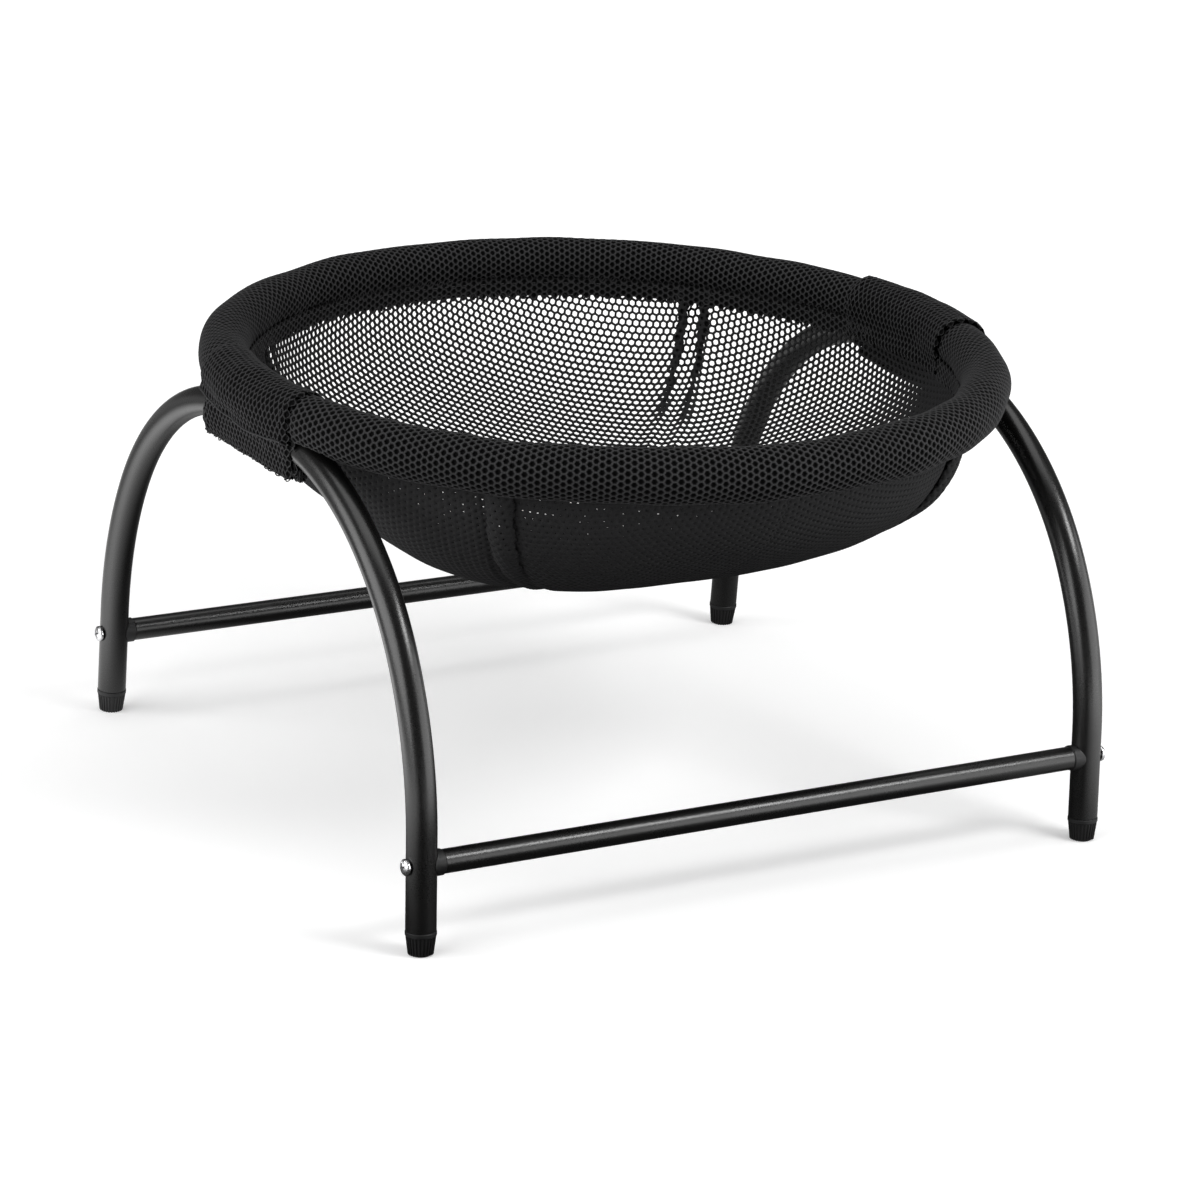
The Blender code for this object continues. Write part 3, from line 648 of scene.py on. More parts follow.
def loop_tree():
    """Loose yarn loops along a raw edge, each turned and sized a little differently."""
    tree, given, end = new_tree("yarn_loops", "Step", "Loop radius", "Yarn", Int="Seed")
    points, turn = along_path(tree, given, "X")
    loop = swept(tree, circle(tree, 9, given["Loop radius"]), 4, given["Yarn"])
    wild = add_node(
        tree, "FunctionNodeRandomValue",
        {0: (-LOOP_TURN,) * 3, 1: (LOOP_TURN,) * 3, "Seed": given["Seed"]},
        data_type="FLOAT_VECTOR",
    )
    bent = add_node(tree, "FunctionNodeRotateEuler", {0: turn, 1: wild.outputs[0]}, space="LOCAL")
    sizes = add_node(
        tree, "FunctionNodeRandomValue",
        {2: LOOP_SIZES[0], 3: LOOP_SIZES[1], "Seed": math_node(tree, "ADD", given["Seed"], 1.0)},
        data_type="FLOAT",
    )
    run = placed(tree, points, loop, bent.outputs[0], sizes.outputs[1])
    return close_tree(tree, given, end, run)


def upward(tree, height):
    """A direction straight up, of some length."""
    return add_node(tree, "ShaderNodeCombineXYZ", {"Z": height}).outputs[0]


def rib_tree():
    """A turned cap with slim ribs set round its taper."""
    tree, given, end = new_tree(
        "ribbed_cap", "Rib radius", "Rib length", "Ring radius", "Ring height", "Taper", Int="Ribs"
    )
    ring = add_node(
        tree, "GeometryNodeMeshCircle", {"Vertices": given["Ribs"], "Radius": given["Ring radius"]}
    )
    rib = add_node(tree, "GeometryNodeMeshCone", {
        "Vertices": 8, "Side Segments": 1, "Radius Top": given["Rib radius"],
        "Radius Bottom": math_node(tree, "MULTIPLY", given["Rib radius"], 0.8),
        "Depth": given["Rib length"],
    })
    drop = upward(tree, math_node(tree, "MULTIPLY", given["Rib length"], -0.5))
    middle = add_node(
        tree, "GeometryNodeSetPosition", {"Geometry": rib.outputs["Mesh"], "Offset": drop}
    )
    place = add_node(tree, "GeometryNodeInputPosition")
    outward = vector_node(tree, "NORMALIZE", place.outputs[0]).outputs[0]
    across = scaled(tree, outward, math_node(tree, "SINE", given["Taper"]))
    upright = upward(tree, math_node(tree, "COSINE", given["Taper"]))
    turn = facing(tree, vector_node(tree, "ADD", across, upright).outputs[0], "Z")
    ribs = placed(tree, ring.outputs[0], middle.outputs[0], turn)
    lift = upward(tree, given["Ring height"])
    raised = add_node(
        tree, "GeometryNodeTranslateInstances",
        {"Instances": ribs, "Local Space": False, "Translation": lift},
    )
    both = add_node(tree, "GeometryNodeJoinGeometry")
    tree.links.new(given["Geometry"], both.inputs[0])
    tree.links.new(raised.outputs[0], both.inputs[0])
    return close_tree(tree, given, end, both.outputs[0])


def screw_tree():
    """One screw set at each point, with its head facing away from the bed's middle."""
    tree, given, end = new_tree("set_screws", Object="Screw")
    model = add_node(
        tree, "GeometryNodeObjectInfo", {"Object": given["Screw"], "As Instance": True}
    )
    place = add_node(tree, "GeometryNodeInputPosition")
    split = add_node(tree, "ShaderNodeSeparateXYZ", {0: place.outputs[0]})
    outward = add_node(
        tree, "ShaderNodeCombineXYZ", {"X": math_node(tree, "SIGN", split.outputs["X"])}
    )
    turn = facing(tree, outward.outputs[0], "X")
    screws = placed(tree, given["Geometry"], model.outputs["Geometry"], turn)
    return close_tree(tree, given, end, screws)


# Finishes


def new_finish(name, tint, **settings):
    """A Principled BSDF with its plain values set on its own sockets, and a place on the object."""
    made = bpy.data.materials.new(name)
    made.use_nodes = True
    tree = made.node_tree
    shader = tree.nodes["Principled BSDF"]
    shader.inputs["Base Color"].default_value = solid(tint)
    for key, value in settings.items():
        shader.inputs[key.replace("_", " ").title().replace("Ior", "IOR")].default_value = value
    made.diffuse_color = solid(tint)
    place = add_node(tree, "ShaderNodeTexCoord").outputs["Object"]
    return made, tree, shader, place


def grain(tree, place, scale, detail=3.0, rough=0.6, stretch=(1.0, 1.0, 1.0)):
    """Noise in the object's own space, stretched along an axis if asked."""
    held = add_node(tree, "ShaderNodeMapping", {"Vector": place, "Scale": stretch})
    return add_node(
        tree, "ShaderNodeTexNoise",
        {"Vector": held.outputs[0], "Scale": scale, "Detail": detail, "Roughness": rough},
    ).outputs["Fac"]


def between(tree, value, low, high, start=0.3, stop=0.7):
    """A value mapped into a range."""
    return add_node(
        tree, "ShaderNodeMapRange",
        {"Value": value, "From Min": start, "From Max": stop, "To Min": low, "To Max": high},
    ).outputs[0]


def stepped(tree, value, stops):
    """A value read off a line through (from, to) points between 0 and 1."""
    ramp = add_node(tree, "ShaderNodeValToRGB", {"Fac": value})
    marks = ramp.color_ramp.elements
    for number, (position, level) in enumerate(stops):
        mark = marks[number] if number < 2 else marks.new(position)
        mark.position, mark.color = position, (level, level, level, 1.0)
    return ramp.outputs["Color"]


def mixed(tree, value, low, high):
    """A mix of two colours, linked or set, by a value from 0 to 1."""
    return add_node(
        tree, "ShaderNodeMix", {0: value, 6: low, 7: high}, data_type="RGBA", clamp_factor=True
    ).outputs[2]


def solid(tint):
    """A colour with its alpha."""
    return (*tint, 1.0)


def tinted(tree, value, tint, dark, light):
    """One colour, darker where a value is 0 and lighter where it is 1."""
    return mixed(tree, value, solid(shade(tint, dark)), solid(shade(tint, light)))


def painted(tree, shader, value, tint, dark, light):
    """Colours a finish by a value from 0 to 1."""
    tree.links.new(tinted(tree, value, tint, dark, light), shader.inputs["Base Color"])


def bumped(tree, shader, height, distance, strength):
    """Relief from a height."""
    relief = add_node(
        tree, "ShaderNodeBump", {"Height": height, "Distance": distance, "Strength": strength}
    )
    tree.links.new(relief.outputs[0], shader.inputs["Normal"])


def shade(tint, factor):
    """The same colour, darker or lighter."""
    return tuple(min(1.0, part * factor) for part in tint)


def coat_finish(colours):
    """Satin black powder coat: faint orange peel, a soft haze and tiny matt specks."""
    made, tree, shader, place = new_finish(
        "satin_powder_coat", colours.coat, roughness=0.30, specular_ior_level=0.60
    )
    cloud = grain(tree, place, 26.0)
    peel = grain(tree, place, 1500.0, 2.0)
    painted(tree, shader, cloud, colours.coat, 0.8, 1.3)
    haze, gloss = between(tree, cloud, -0.03, 0.03), between(tree, peel, 0.26, 0.34)
    tree.links.new(math_node(tree, "ADD", haze, gloss), shader.inputs["Roughness"])
    bumped(tree, shader, peel, 0.00008, 0.35)
    return made


def plastic_finish(colours):
    """Matt moulded plastic with a fine spark-eroded grain."""
    made, tree, shader, place = new_finish(
        "moulded_plastic", colours.plastic, roughness=0.5, specular_ior_level=0.4
    )
    fine = grain(tree, place, 2600.0, 2.0)
    wear = grain(tree, place, 160.0)
    painted(tree, shader, wear, colours.plastic, 0.75, 1.35)
    tree.links.new(between(tree, wear, 0.42, 0.56), shader.inputs["Roughness"])
    bumped(tree, shader, fine, 0.00005, 0.4)
    return made


def zinc_finish(colours):
    """Bright zinc on steel: fine turning marks and a mottled gloss."""
    made, tree, shader, place = new_finish(
        "bright_zinc", colours.zinc, metallic=1.0, roughness=0.24
    )
    marks = grain(tree, place, 900.0, 4.0, 0.7, (6.0, 1.0, 1.0))
    mottle = grain(tree, place, 420.0)
    painted(tree, shader, mottle, colours.zinc, 0.8, 1.2)
    tree.links.new(between(tree, marks, 0.16, 0.34), shader.inputs["Roughness"])
    bumped(tree, shader, marks, 0.00003, 0.3)
    return made


def yarn_relief(tree, place, shader, depth, strength):
    """Fine knitted yarn in relief: crossing ribs broken up by noise. Gives its lightness too."""
    heights = []
    for direction, size in (("X", 300.0), ("Y", 300.0), ("Z", 380.0)):
        wave = add_node(
            tree, "ShaderNodeTexWave",
            {"Vector": place, "Scale": size, "Distortion": 2.5, "Detail": 2.0, "Detail Scale": 2.0},
            wave_type="BANDS", bands_direction=direction,
        )
        heights.append(wave.outputs["Fac"])
    first = math_node(tree, "MULTIPLY", heights[0], heights[1])
    ribs = math_node(tree, "MAXIMUM", first, heights[2])
    fuzz = grain(tree, place, 3200.0, 2.0)
    height = math_node(tree, "ADD", ribs, math_node(tree, "MULTIPLY", fuzz, 0.6))
    bumped(tree, shader, height, depth, strength)
    return math_node(tree, "MULTIPLY", math_node(tree, "ADD", ribs, fuzz), 0.5)


def spacer_finish(colours):
    """Spacer mesh: charcoal yarn on the strands, with painted shade darkening the pits."""
    made, tree, shader, place = new_finish(
        "charcoal_spacer_mesh", colours.spacer, roughness=0.8, specular_ior_level=0.1,
        sheen_weight=0.02, sheen_roughness=0.45,
    )
    shader.inputs["Sheen Tint"].default_value = (0.55, 0.55, 0.56, 1.0)
    level = yarn_relief(tree, place, shader, 0.00016, 0.6)
    patch = grain(tree, place, 14.0)
    yarn = tinted(tree, level, colours.spacer, 0.62, 1.25)
    worn = solid(shade(colours.spacer, 0.5))
    aged = mixed(tree, between(tree, patch, 0.0, 0.22), yarn, worn)
    # Painted shade: the pits' lips and floors are mixed towards the near-black pit colour
    depth = add_node(tree, "ShaderNodeAttribute", attribute_name="pit").outputs["Fac"]
    hollow = between(tree, depth, 0.0, 1.0, 0.12, 0.56)
    tree.links.new(mixed(tree, hollow, aged, solid(colours.pit)), shader.inputs["Base Color"])
    return made


def net_finish(colours):
    """Black knitted net with a dry yarn surface."""
    made, tree, shader, place = new_finish(
        "black_knitted_net", colours.net, roughness=0.85, specular_ior_level=0.08,
    )
    level = yarn_relief(tree, place, shader, 0.00012, 0.5)
    painted(tree, shader, level, colours.net, 0.6, 1.3)
    return made


def binding_finish(colours):
    """Close-knit binding tape: fine ribs along its length, a little wool on top."""
    made, tree, shader, place = new_finish(
        "turned_in_cloth", colours.binding, roughness=0.85, specular_ior_level=0.1,
    )
    level = yarn_relief(tree, place, shader, 0.0002, 0.8)
    painted(tree, shader, level, colours.binding, 0.6, 1.5)
    return made


def foam_finish(colours):
    """Grey closed-cell foam with small bubbles."""
    made, tree, shader, place = new_finish(
        "closed_cell_foam", colours.foam, roughness=0.9, specular_ior_level=0.2
    )
    bubbles = add_node(tree, "ShaderNodeTexVoronoi", {"Vector": place, "Scale": 1100.0})
    cells = bubbles.outputs["Distance"]
    painted(tree, shader, cells, colours.foam, 0.6, 1.3)
    bumped(tree, shader, cells, 0.0003, 0.6)
    return made


def tape_finish(name, tint, size, depth):
    """Hook or loop tape: a woven base with a dense field of small bristles."""
    made, tree, shader, place = new_finish(
        name, tint, roughness=0.9, specular_ior_level=0.2, sheen_weight=0.15, sheen_roughness=0.5
    )
    field = add_node(
        tree, "ShaderNodeTexVoronoi", {"Vector": place, "Scale": size, "Randomness": 0.35}
    ).outputs["Distance"]
    painted(tree, shader, field, tint, 1.6, 0.5)
    bumped(tree, shader, field, depth, 0.9)
    return made


def thread_finish(colours):
    """Twisted polyester thread."""
    made, tree, shader, place = new_finish(
        "sewing_thread", colours.thread, roughness=0.55, specular_ior_level=0.4
    )
    twist = add_node(
        tree, "ShaderNodeTexWave", {"Vector": place, "Scale": 900.0, "Distortion": 1.0},
        wave_type="BANDS", bands_direction="DIAGONAL",
    ).outputs["Fac"]
    painted(tree, shader, twist, colours.thread, 0.5, 1.4)
    bumped(tree, shader, twist, 0.0001, 0.5)
    return made


FINISH_MAKERS = {
    "coat": coat_finish,
    "plastic": plastic_finish,
    "zinc": zinc_finish,
    "spacer": spacer_finish,
    "net": net_finish,
    "binding": binding_finish,
    "foam": foam_finish,
    "thread": thread_finish,
}
FINISHES = {}
TREES = {}


def finish_of(name):
    """One of the bed's finishes, made when it is first asked for."""
    if name not in FINISHES:
        FINISHES[name] = FINISH_MAKERS[name](bpy.context.scene.bed_colours)
    return FINISHES[name]


def tree_of(maker):
    """One of the bed's node trees, made when it is first asked for."""
    if maker not in TREES:
        TREES[maker] = maker()
    return TREES[maker]


# The frame's own lines


def arch_half(sizes, shoulder_steps=14, crown_steps=30):
    """Centreline of an arch from its rear foot to its top, as (half spacing, height)."""
    tilt, bend, middle = sizes.lean, sizes.shoulder_end, QUARTER_TURN
    y = sizes.foot_spread / 2 - math.tan(tilt) * sizes.straight_h
    z = sizes.straight_h
    low = sizes.foot_spread / 2 - math.tan(tilt) * sizes.foot_top
    points = [(low, sizes.foot_top), (y, z)]
    bends = (
        (tilt, bend, sizes.shoulder_r, shoulder_steps),
        (bend, middle, sizes.crown_r, crown_steps),
    )
    for start, stop, radius, steps in bends:
        for step in range(1, steps + 1):
            way = start + (stop - start) * step / steps
            points.append((
                y - radius * (math.cos(start) - math.cos(way)),
                z + radius * (math.sin(way) - math.sin(start)),
            ))
        y, z = points[-1]
    return points


def arch_height(sizes, y):
    """Height of an arch's centreline above a place on its crown."""
    flat, top = arch_half(sizes)[-1]
    run = np.clip(np.abs(y) - flat, 0.0, sizes.crown_r)
    return top - sizes.crown_r + np.sqrt(sizes.crown_r**2 - run**2)


def bar_y(sizes):
    """How far the crossbars lie from the bed's middle."""
    return sizes.foot_spread / 2 - math.tan(sizes.lean) * sizes.bar_h


def path_mesh(name, points, closed=False):
    """A mesh of edges through some points."""
    edges = [(turn, turn + 1) for turn in range(len(points) - 1)]
    if closed:
        edges.append((len(points) - 1, 0))
    return mesh_of(name, points, (), edges)


def turned(name, profile, sides, material, sharp=40.0):
    """A piece turned about Z from (radius, height) points, from the top down its outer side."""
    points, faces, rings = [], [], []
    for radius, height in profile:
        if radius < TINY:
            rings.append([len(points)] * sides)
            points.append((0.0, 0.0, height))
            continue
        rings.append([len(points) + turn for turn in range(sides)])
        ways = [2 * math.pi * turn / sides for turn in range(sides)]
        points += [(radius * math.cos(way), radius * math.sin(way), height) for way in ways]
    for upper, lower in zip(rings, rings[1:]):
        for turn in range(sides):
            after = (turn + 1) % sides
            face = [upper[turn], lower[turn], lower[after], upper[after]]
            kept = [corner for place, corner in enumerate(face) if corner not in face[:place]]
            if len(kept) > 2:
                faces.append(kept)
    mesh = mesh_of(name, points, faces)
    mesh.materials.append(material)
    soften(mesh, sharp)
    return add_object(name, mesh)


# A staggered lattice of six-sided cells, laid over a surface


def cell_sheet(name, cells, pitch, place, wrap=0, turned_over=False, reach=None, opened=None):
    """A sheet with one six-sided face for each (column, row), set on a surface by place(u, v).

    Each face keeps the direction of its row. With opened(u, v) it also keeps how far its hole is
    open.
    """
    wide, tall = pitch
    reach = (wide**2 - tall**2) / (4 * wide) if reach is None else reach

    def corner(column, row, side):
        return (column % wrap if wrap else column, row, side)

    numbers, flat, faces, tips, middles = {}, [], [], [], []
    for column, row in cells:
        odd = row % 2
        right, left = column + odd, column + odd - 1
        around = (
            corner(column, row, 1), corner(right, row + 1, -1), corner(left, row + 1, 1),
            corner(column, row, -1), corner(left, row - 1, 1), corner(right, row - 1, -1),
        )
        for key in around:
            if key not in numbers:
                numbers[key] = len(flat)
                middle = wide * (key[0] + 0.5 * (key[1] % 2))
                flat.append((middle + key[2] * (wide / 2 - reach), tall / 2 * key[1]))
        face = [numbers[key] for key in around]
        faces.append(face[::-1] if turned_over else face)
        tips.append((face[0], face[3]))
        middles.append((wide * (column + 0.5 * odd), tall / 2 * row))
    spots = np.array(flat)
    points = np.asarray(place(spots[:, 0], spots[:, 1]))
    mesh = mesh_of(name, points, faces)
    ends = np.array(tips)
    mark_faces(mesh, "along", "FLOAT_VECTOR", points[ends[:, 0]] - points[ends[:, 1]])
    if opened:
        centres = np.array(middles)
        mark_faces(mesh, "open", "FLOAT", opened(centres[:, 0], centres[:, 1]))
    return mesh


def cells_before(limit, rows, wide):
    """The cells of some rows whose middles lie before a length."""
    return [
        (column, row) for row in rows for column in range(int(limit / wide) + 1)
        if wide * (column + 0.5 * (row % 2)) < limit
    ]


# The rim roll

RING_WAVES = 4  # what a metre round the roll counts for, where the bed's radius counts as 1
PAD_STEPS, PAD_SECTORS = 28, 60  # points round the padding's section, and sections in a half
PAD_START = -0.45 * math.pi  # turn of the roll at which the padding starts, under the hoop
PAD_GAP = 0.004  # radians left at each end of a padding half
PAD_ROOM = 0.0006  # metres between the cover's deepest pits and the padding
HOOP_BORE, HOOP_RISE = 0.0066, 0.0042  # the hoop's channel: its radius, and its place in the roll


def spacer_mesh(name, sheet, cloth, depth, pit=None, stretch=None):
    """A piece of spacer mesh from a sheet of cells. Its pits are the rim's if not told."""
    return grown(
        name, sheet, spacer_tree, "spacer", pit_share=pit or cloth.pit_share,
        strand_roundness=cloth.lip_drop, pit_depth=depth, pit_floor=cloth.pit_floor,
        pit_stretch=stretch or cloth.pit_stretch,
    )


def ring_turn(u, columns, cloth):
    """Angles round the bed of some places along a closed row of cells."""
    return u / (columns * cloth.long_pitch) * 2 * math.pi


def roll_turns(rim):
    """Turn of the rim's section against the distance round it, from lower lip to upper lip."""
    turns = np.linspace(rim.seam_low, rim.seam_high, 500)
    points = np.stack([rim.width / 2 * np.cos(turns), rim.height / 2 * np.sin(turns)], axis=1)
    return turns, run_of(points)


def on_roll(rim, around, turns, inset=0.0, room=None):
    """Points on the rim roll at some angles round the bed and turns round the roll."""
    sizes = bpy.context.scene.bed_frame
    room = rim.dent_r if room is None else room
    radius = rim.hoop_r + (rim.width / 2 - inset) * np.cos(turns)
    height = rim.centre_z + (rim.height / 2 - inset) * np.sin(turns)
    x, y = radius * np.cos(around), radius * np.sin(around)
    aside = np.abs(x) - sizes.spacing / 2
    near = np.sqrt(np.clip(room**2 - aside**2, 0.0, None))
    lifted = np.where(np.abs(aside) < room, arch_height(sizes, y) + near, -1.0)
    return np.stack([x, y, np.maximum(height, lifted)], axis=1)


def build_rim(context):
    """The padding and the spacer mesh cover of the rim."""
    rim, cloth = context.scene.bed_rim, context.scene.bed_cloth
    turns, distance = roll_turns(rim)
    columns = round(2 * math.pi * rim.hoop_r / cloth.long_pitch)
    rows = int(distance[-1] / (cloth.short_pitch / 2)) - 1
    start = (distance[-1] - rows * cloth.short_pitch / 2) / 2

    def place(u, v):
        around = ring_turn(u, columns, cloth)
        ring = round_bed(1.0, around, v * RING_WAVES)
        turn = np.interp(v + start + waves(ring, "rim_drift"), distance, turns)
        sway = waves(ring, "rim_sway") / rim.hoop_r
        swell = rim.lump * waves(ring, "rim_swell")
        return on_roll(rim, around + sway, turn, -swell)

    cells = [(column, row) for row in range(rows + 1) for column in range(columns)]
    pitch = (cloth.long_pitch, cloth.short_pitch)
    sheet = cell_sheet("rim_cells", cells, pitch, place, wrap=columns)
    cover = spacer_mesh("rim_mesh_cover", sheet, cloth, cloth.pit_depth)
    finish(cover, ["rim_cover"])
    build_padding(rim, cloth)
    for node in ("hoop_left_half", "hoop_right_half"):
        dress(node, finish_of("coat"))
    for node in ("hoop_joiner_front", "hoop_joiner_rear"):
        dress(node, finish_of("zinc"))


def build_padding(rim, cloth):
    """The padding in two halves, hollowed to the hoop."""
    inside = cloth.pit_depth + rim.lump + PAD_ROOM
    ways = np.linspace(PAD_START, rim.seam_high, PAD_STEPS)
    for name, first in (("left", QUARTER_TURN), ("right", 3 * QUARTER_TURN)):
        loops = []
        for sector in range(PAD_SECTORS + 1):
            way = first + PAD_GAP + (math.pi - 2 * PAD_GAP) * sector / PAD_SECTORS
            around = np.full(PAD_STEPS, way)
            outer = on_roll(rim, around, ways, inside, rim.dent_r + inside)
            inner = round_bed(
                rim.hoop_r + HOOP_BORE * np.cos(ways), around,
                rim.centre_z + HOOP_RISE + HOOP_BORE * np.sin(ways),
            )
            loops.append(np.concatenate([outer, inner[::-1]]))
        pad = lofted(f"rim_padding_{name}", loops, finish_of("foam"))
        finish(pad, [f"rim_foam_{name}"])


def lofted(name, loops, material, sharp=50.0):
    """A closed solid through loops of points, capped at its ends."""
    sides, rows = len(loops[0]), len(loops)
    faces = []
    for start in range(0, (rows - 1) * sides, sides):
        for turn in range(sides):
            after = (turn + 1) % sides
            faces.append((
                start + turn, start + after, start + sides + after, start + sides + turn
            ))
    faces.append(tuple(range(sides))[::-1])
    faces.append(tuple((rows - 1) * sides + turn for turn in range(sides)))
    mesh = mesh_of(name, np.concatenate(loops), faces)
    shape = bmesh.new()
    shape.from_mesh(mesh)
    bmesh.ops.recalc_face_normals(shape, faces=shape.faces)
    shape.to_mesh(mesh)
    shape.free()
    mesh.materials.append(material)
    soften(mesh, sharp)
    return add_object(name, mesh)


# The net bowl


LOBES = np.linspace(-1.0, 2.0, 13)  # how full the bowl is at each row of its tables
EVEN_LOBE = 4  # the row where it is neither fuller nor slacker
FALL_STEPS, WAY_STEPS = 1500, 400
FULL_AT, FULL_WIDE = (-2.70, -0.54), 0.30  # radians: where it is fuller at the front, how widely
SLOPE_STEP = 0.01  # share of the way over which the wall's slope is read
ARCH_EASE = 0.0048  # height below the seam over which the wall makes room for an arch
ARCH_ROOM = 0.0028  # room between an arch and the wall beside it
ARCH_SIDE = 0.2  # cosine of the angle from which an arch may be near
PLEAT_FACE = (0.72, 0.28)  # width of a pleat's face low on the wall, and what its fold adds
FOLD_BLEND = 0.0016  # length over which one layer of a pleat climbs over the next
FACE_SWELL = 0.0019  # how far a pleat's face stands out
VALLEY_W, VALLEY_DEPTH = 0.0032, 0.0016  # the dent along each side of a pleat's face
FACE_MOST = 0.45  # a pleat's face against the wall's radius, at most
FOLD_FADE = 1.5  # how fast the folds run out down the wall
VALLEY_RISE, VALLEY_START, VALLEY_HELD = 3.0, 0.6, 0.4  # where the dent sets in, and how it ends
SHUT_REACH, SHUT_RISE = 1.5, 6.0  # how far from a fold the holes are shut, and how soon
FRONT_REACH, FRONT_SOFT = 0.3, 0.08  # where the front wall's small holes start, and how softly
FRONT_LOW, FRONT_RISE = 0.28, 0.34  # shares of the way out over which they set in
SEAM_HOLD = 12.0  # how fast the seam smooths the net's unevenness away
CUT_OVER = 0.001  # how far a cell's middle may lie outside the flat cut
BAND_LEAN = 0.0004  # how far the seam band's top lies further in than its bottom
STITCH_DROP = 0.0012  # height of the band's stitches below the seam


class Bowl:
    """The bowl's wall: radius, height and slope at a share of the way from its middle out."""

    def __init__(self, net, sizes):
        self.net, self.sizes = net, sizes
        fall = 1.0 - np.linspace(1.0, 0.0, FALL_STEPS) ** 2
        steps = np.linspace(0.0, 1.0, WAY_STEPS)
        radii, heights, self.spans = [], [], []
        part = (1.0 - fall**net.side_power) ** (1.0 / net.base_power)
        height = net.seam_z - fall * net.depth
        for lobe in LOBES:
            radius = net.seam_r * part * (1.0 + net.bulge * 4 * part * (1.0 - part) * lobe)
            span = np.concatenate([[0.0], np.cumsum(np.hypot(np.diff(radius), np.diff(height)))])
            way = 1.0 - span / span[-1]
            radii.append(np.interp(steps, way[::-1], radius[::-1]))
            heights.append(np.interp(steps, way[::-1], height[::-1]))
            self.spans.append(span[-1])
        self.radii, self.heights = np.array(radii), np.array(heights)

    def read(self, table, lobe, way):
        """Values of one table at some lobes and shares of the way out."""
        least, most = LOBES[0], LOBES[-1]
        row = (np.clip(lobe, least, most) - least) / (most - least) * (len(LOBES) - 1)
        return read_table(table, row, np.clip(way, 0.0, 1.0) * (WAY_STEPS - 1))

    def wall(self, around, way, outward=0.0):
        """Points of the wall at some angles and shares of the way out, moved off it if asked."""
        lobe = np.cos(4.0 * (around - QUARTER_TURN / 2))
        for middle in FULL_AT:
            aside = np.angle(np.exp(1j * (around - middle)))
            lobe = lobe + self.net.side_bulge * np.exp(-((aside / FULL_WIDE) ** 2))
        radius = self.read(self.radii, lobe, way)
        height = self.read(self.heights, lobe, way)
        ahead, back = np.minimum(way + SLOPE_STEP, 1.0), np.clip(way - SLOPE_STEP, 0.0, 1.0)
        run = self.read(self.radii, lobe, ahead) - self.read(self.radii, lobe, back)
        rise = self.read(self.heights, lobe, ahead) - self.read(self.heights, lobe, back)
        size = np.hypot(run, rise) + TINY
        height = height + np.clip(way - 1.0, 0.0, None) * self.spans[0]
        radius = radius + outward * rise / size
        height = height - outward * run / size
        return round_bed(np.minimum(radius, self.most(around, height)), around, height)

    def most(self, around, height):
        """The largest radius that leaves an arch its room."""
        half_x = self.sizes.spacing / 2
        below = np.clip((self.net.seam_z - height) / ARCH_EASE, 0.0, 1.0)
        seam_room = half_x - self.net.seam_r
        full_room = self.sizes.tube_d / 2 + ARCH_ROOM
        room = seam_room + (full_room - seam_room) * below
        side = np.abs(np.cos(around))
        return np.where(side > ARCH_SIDE, (half_x - room) / np.maximum(side, ARCH_SIDE), FAR)

    def cut(self, x, y):
        """How points of the flat round cut lie to the fold of their gore, by name."""
        net = self.net
        flat, turn = np.hypot(x, y), np.arctan2(y, x)
        way = flat / net.cut_r
        gore = np.round(turn / QUARTER_TURN) * QUARTER_TURN
        radius = self.read(self.radii, np.zeros_like(way), way)
        low = smoothstep((1.0 - way) * self.spans[EVEN_LOBE] / net.fade)
        fade = 1.0 - low**FOLD_FADE
        width = net.face * np.array(net.faces)[np.floor(turn / QUARTER_TURN).astype(int) % 4]
        tuck = net.tuck * fade
        face = np.minimum(width * (PLEAT_FACE[0] + PLEAT_FACE[1] * fade), FACE_MOST * radius)
        return SimpleNamespace(
            way=way, gore=gore, radius=radius, fade=fade, tuck=tuck, face=face,
            sign=np.where(turn < gore, -1.0, 1.0), reach=np.abs(flat * (turn - gore)),
            spare=np.maximum(flat * QUARTER_TURN / 2 - tuck - face, LEAST),
        )

    def fold(self, x, y):
        """Where a point of the flat round cut lies on the wall, folded into the four pleats."""
        net, at = self.net, self.cut(x, y)
        half = at.radius * QUARTER_TURN / 2
        stretch = (half - at.face + at.tuck) / at.spare
        under = at.reach < at.spare
        back = (at.reach >= at.spare) & (at.reach < at.spare + at.tuck)
        run = np.where(under, at.reach * stretch, np.where(
            back, half - at.face + at.tuck - (at.reach - at.spare),
            half - at.face + at.reach - at.spare - at.tuck,
        ))
        first = smoothstep((at.reach - at.spare) / FOLD_BLEND + 0.5)
        second = smoothstep((at.reach - at.spare - at.tuck) / FOLD_BLEND + 0.5)
        lift = net.layer * at.fade * (first + second)
        swell = FACE_SWELL * at.fade * smoothstep((at.reach - at.spare - at.tuck) / at.face)
        around = at.gore + at.sign * run / np.maximum(at.radius, LEAST)
        beside = (np.abs(half - run) - at.face) / VALLEY_W
        valley = np.exp(-(beside**2)) * smoothstep(at.way * VALLEY_RISE - VALLEY_START)
        outward = lift + swell - VALLEY_DEPTH * valley * (1.0 - VALLEY_HELD * at.fade)
        return around, at.way, outward

    def opening(self, x, y):
        """How far the net's holes are open: shut in the folds, smaller over the front wall."""
        net, at = self.net, self.cut(x, y)
        beside = np.maximum(at.spare - at.reach, at.reach - at.spare - at.tuck)
        folded = smoothstep(SHUT_REACH - beside / net.gather)
        folded = folded * smoothstep(at.fade * SHUT_RISE)
        low = smoothstep((at.way - FRONT_LOW) / FRONT_RISE)
        front = smoothstep(FRONT_REACH - y / FRONT_SOFT) * low
        return (1.0 - (1.0 - net.shut) * folded) * (1.0 - (1.0 - net.front_hole) * front)


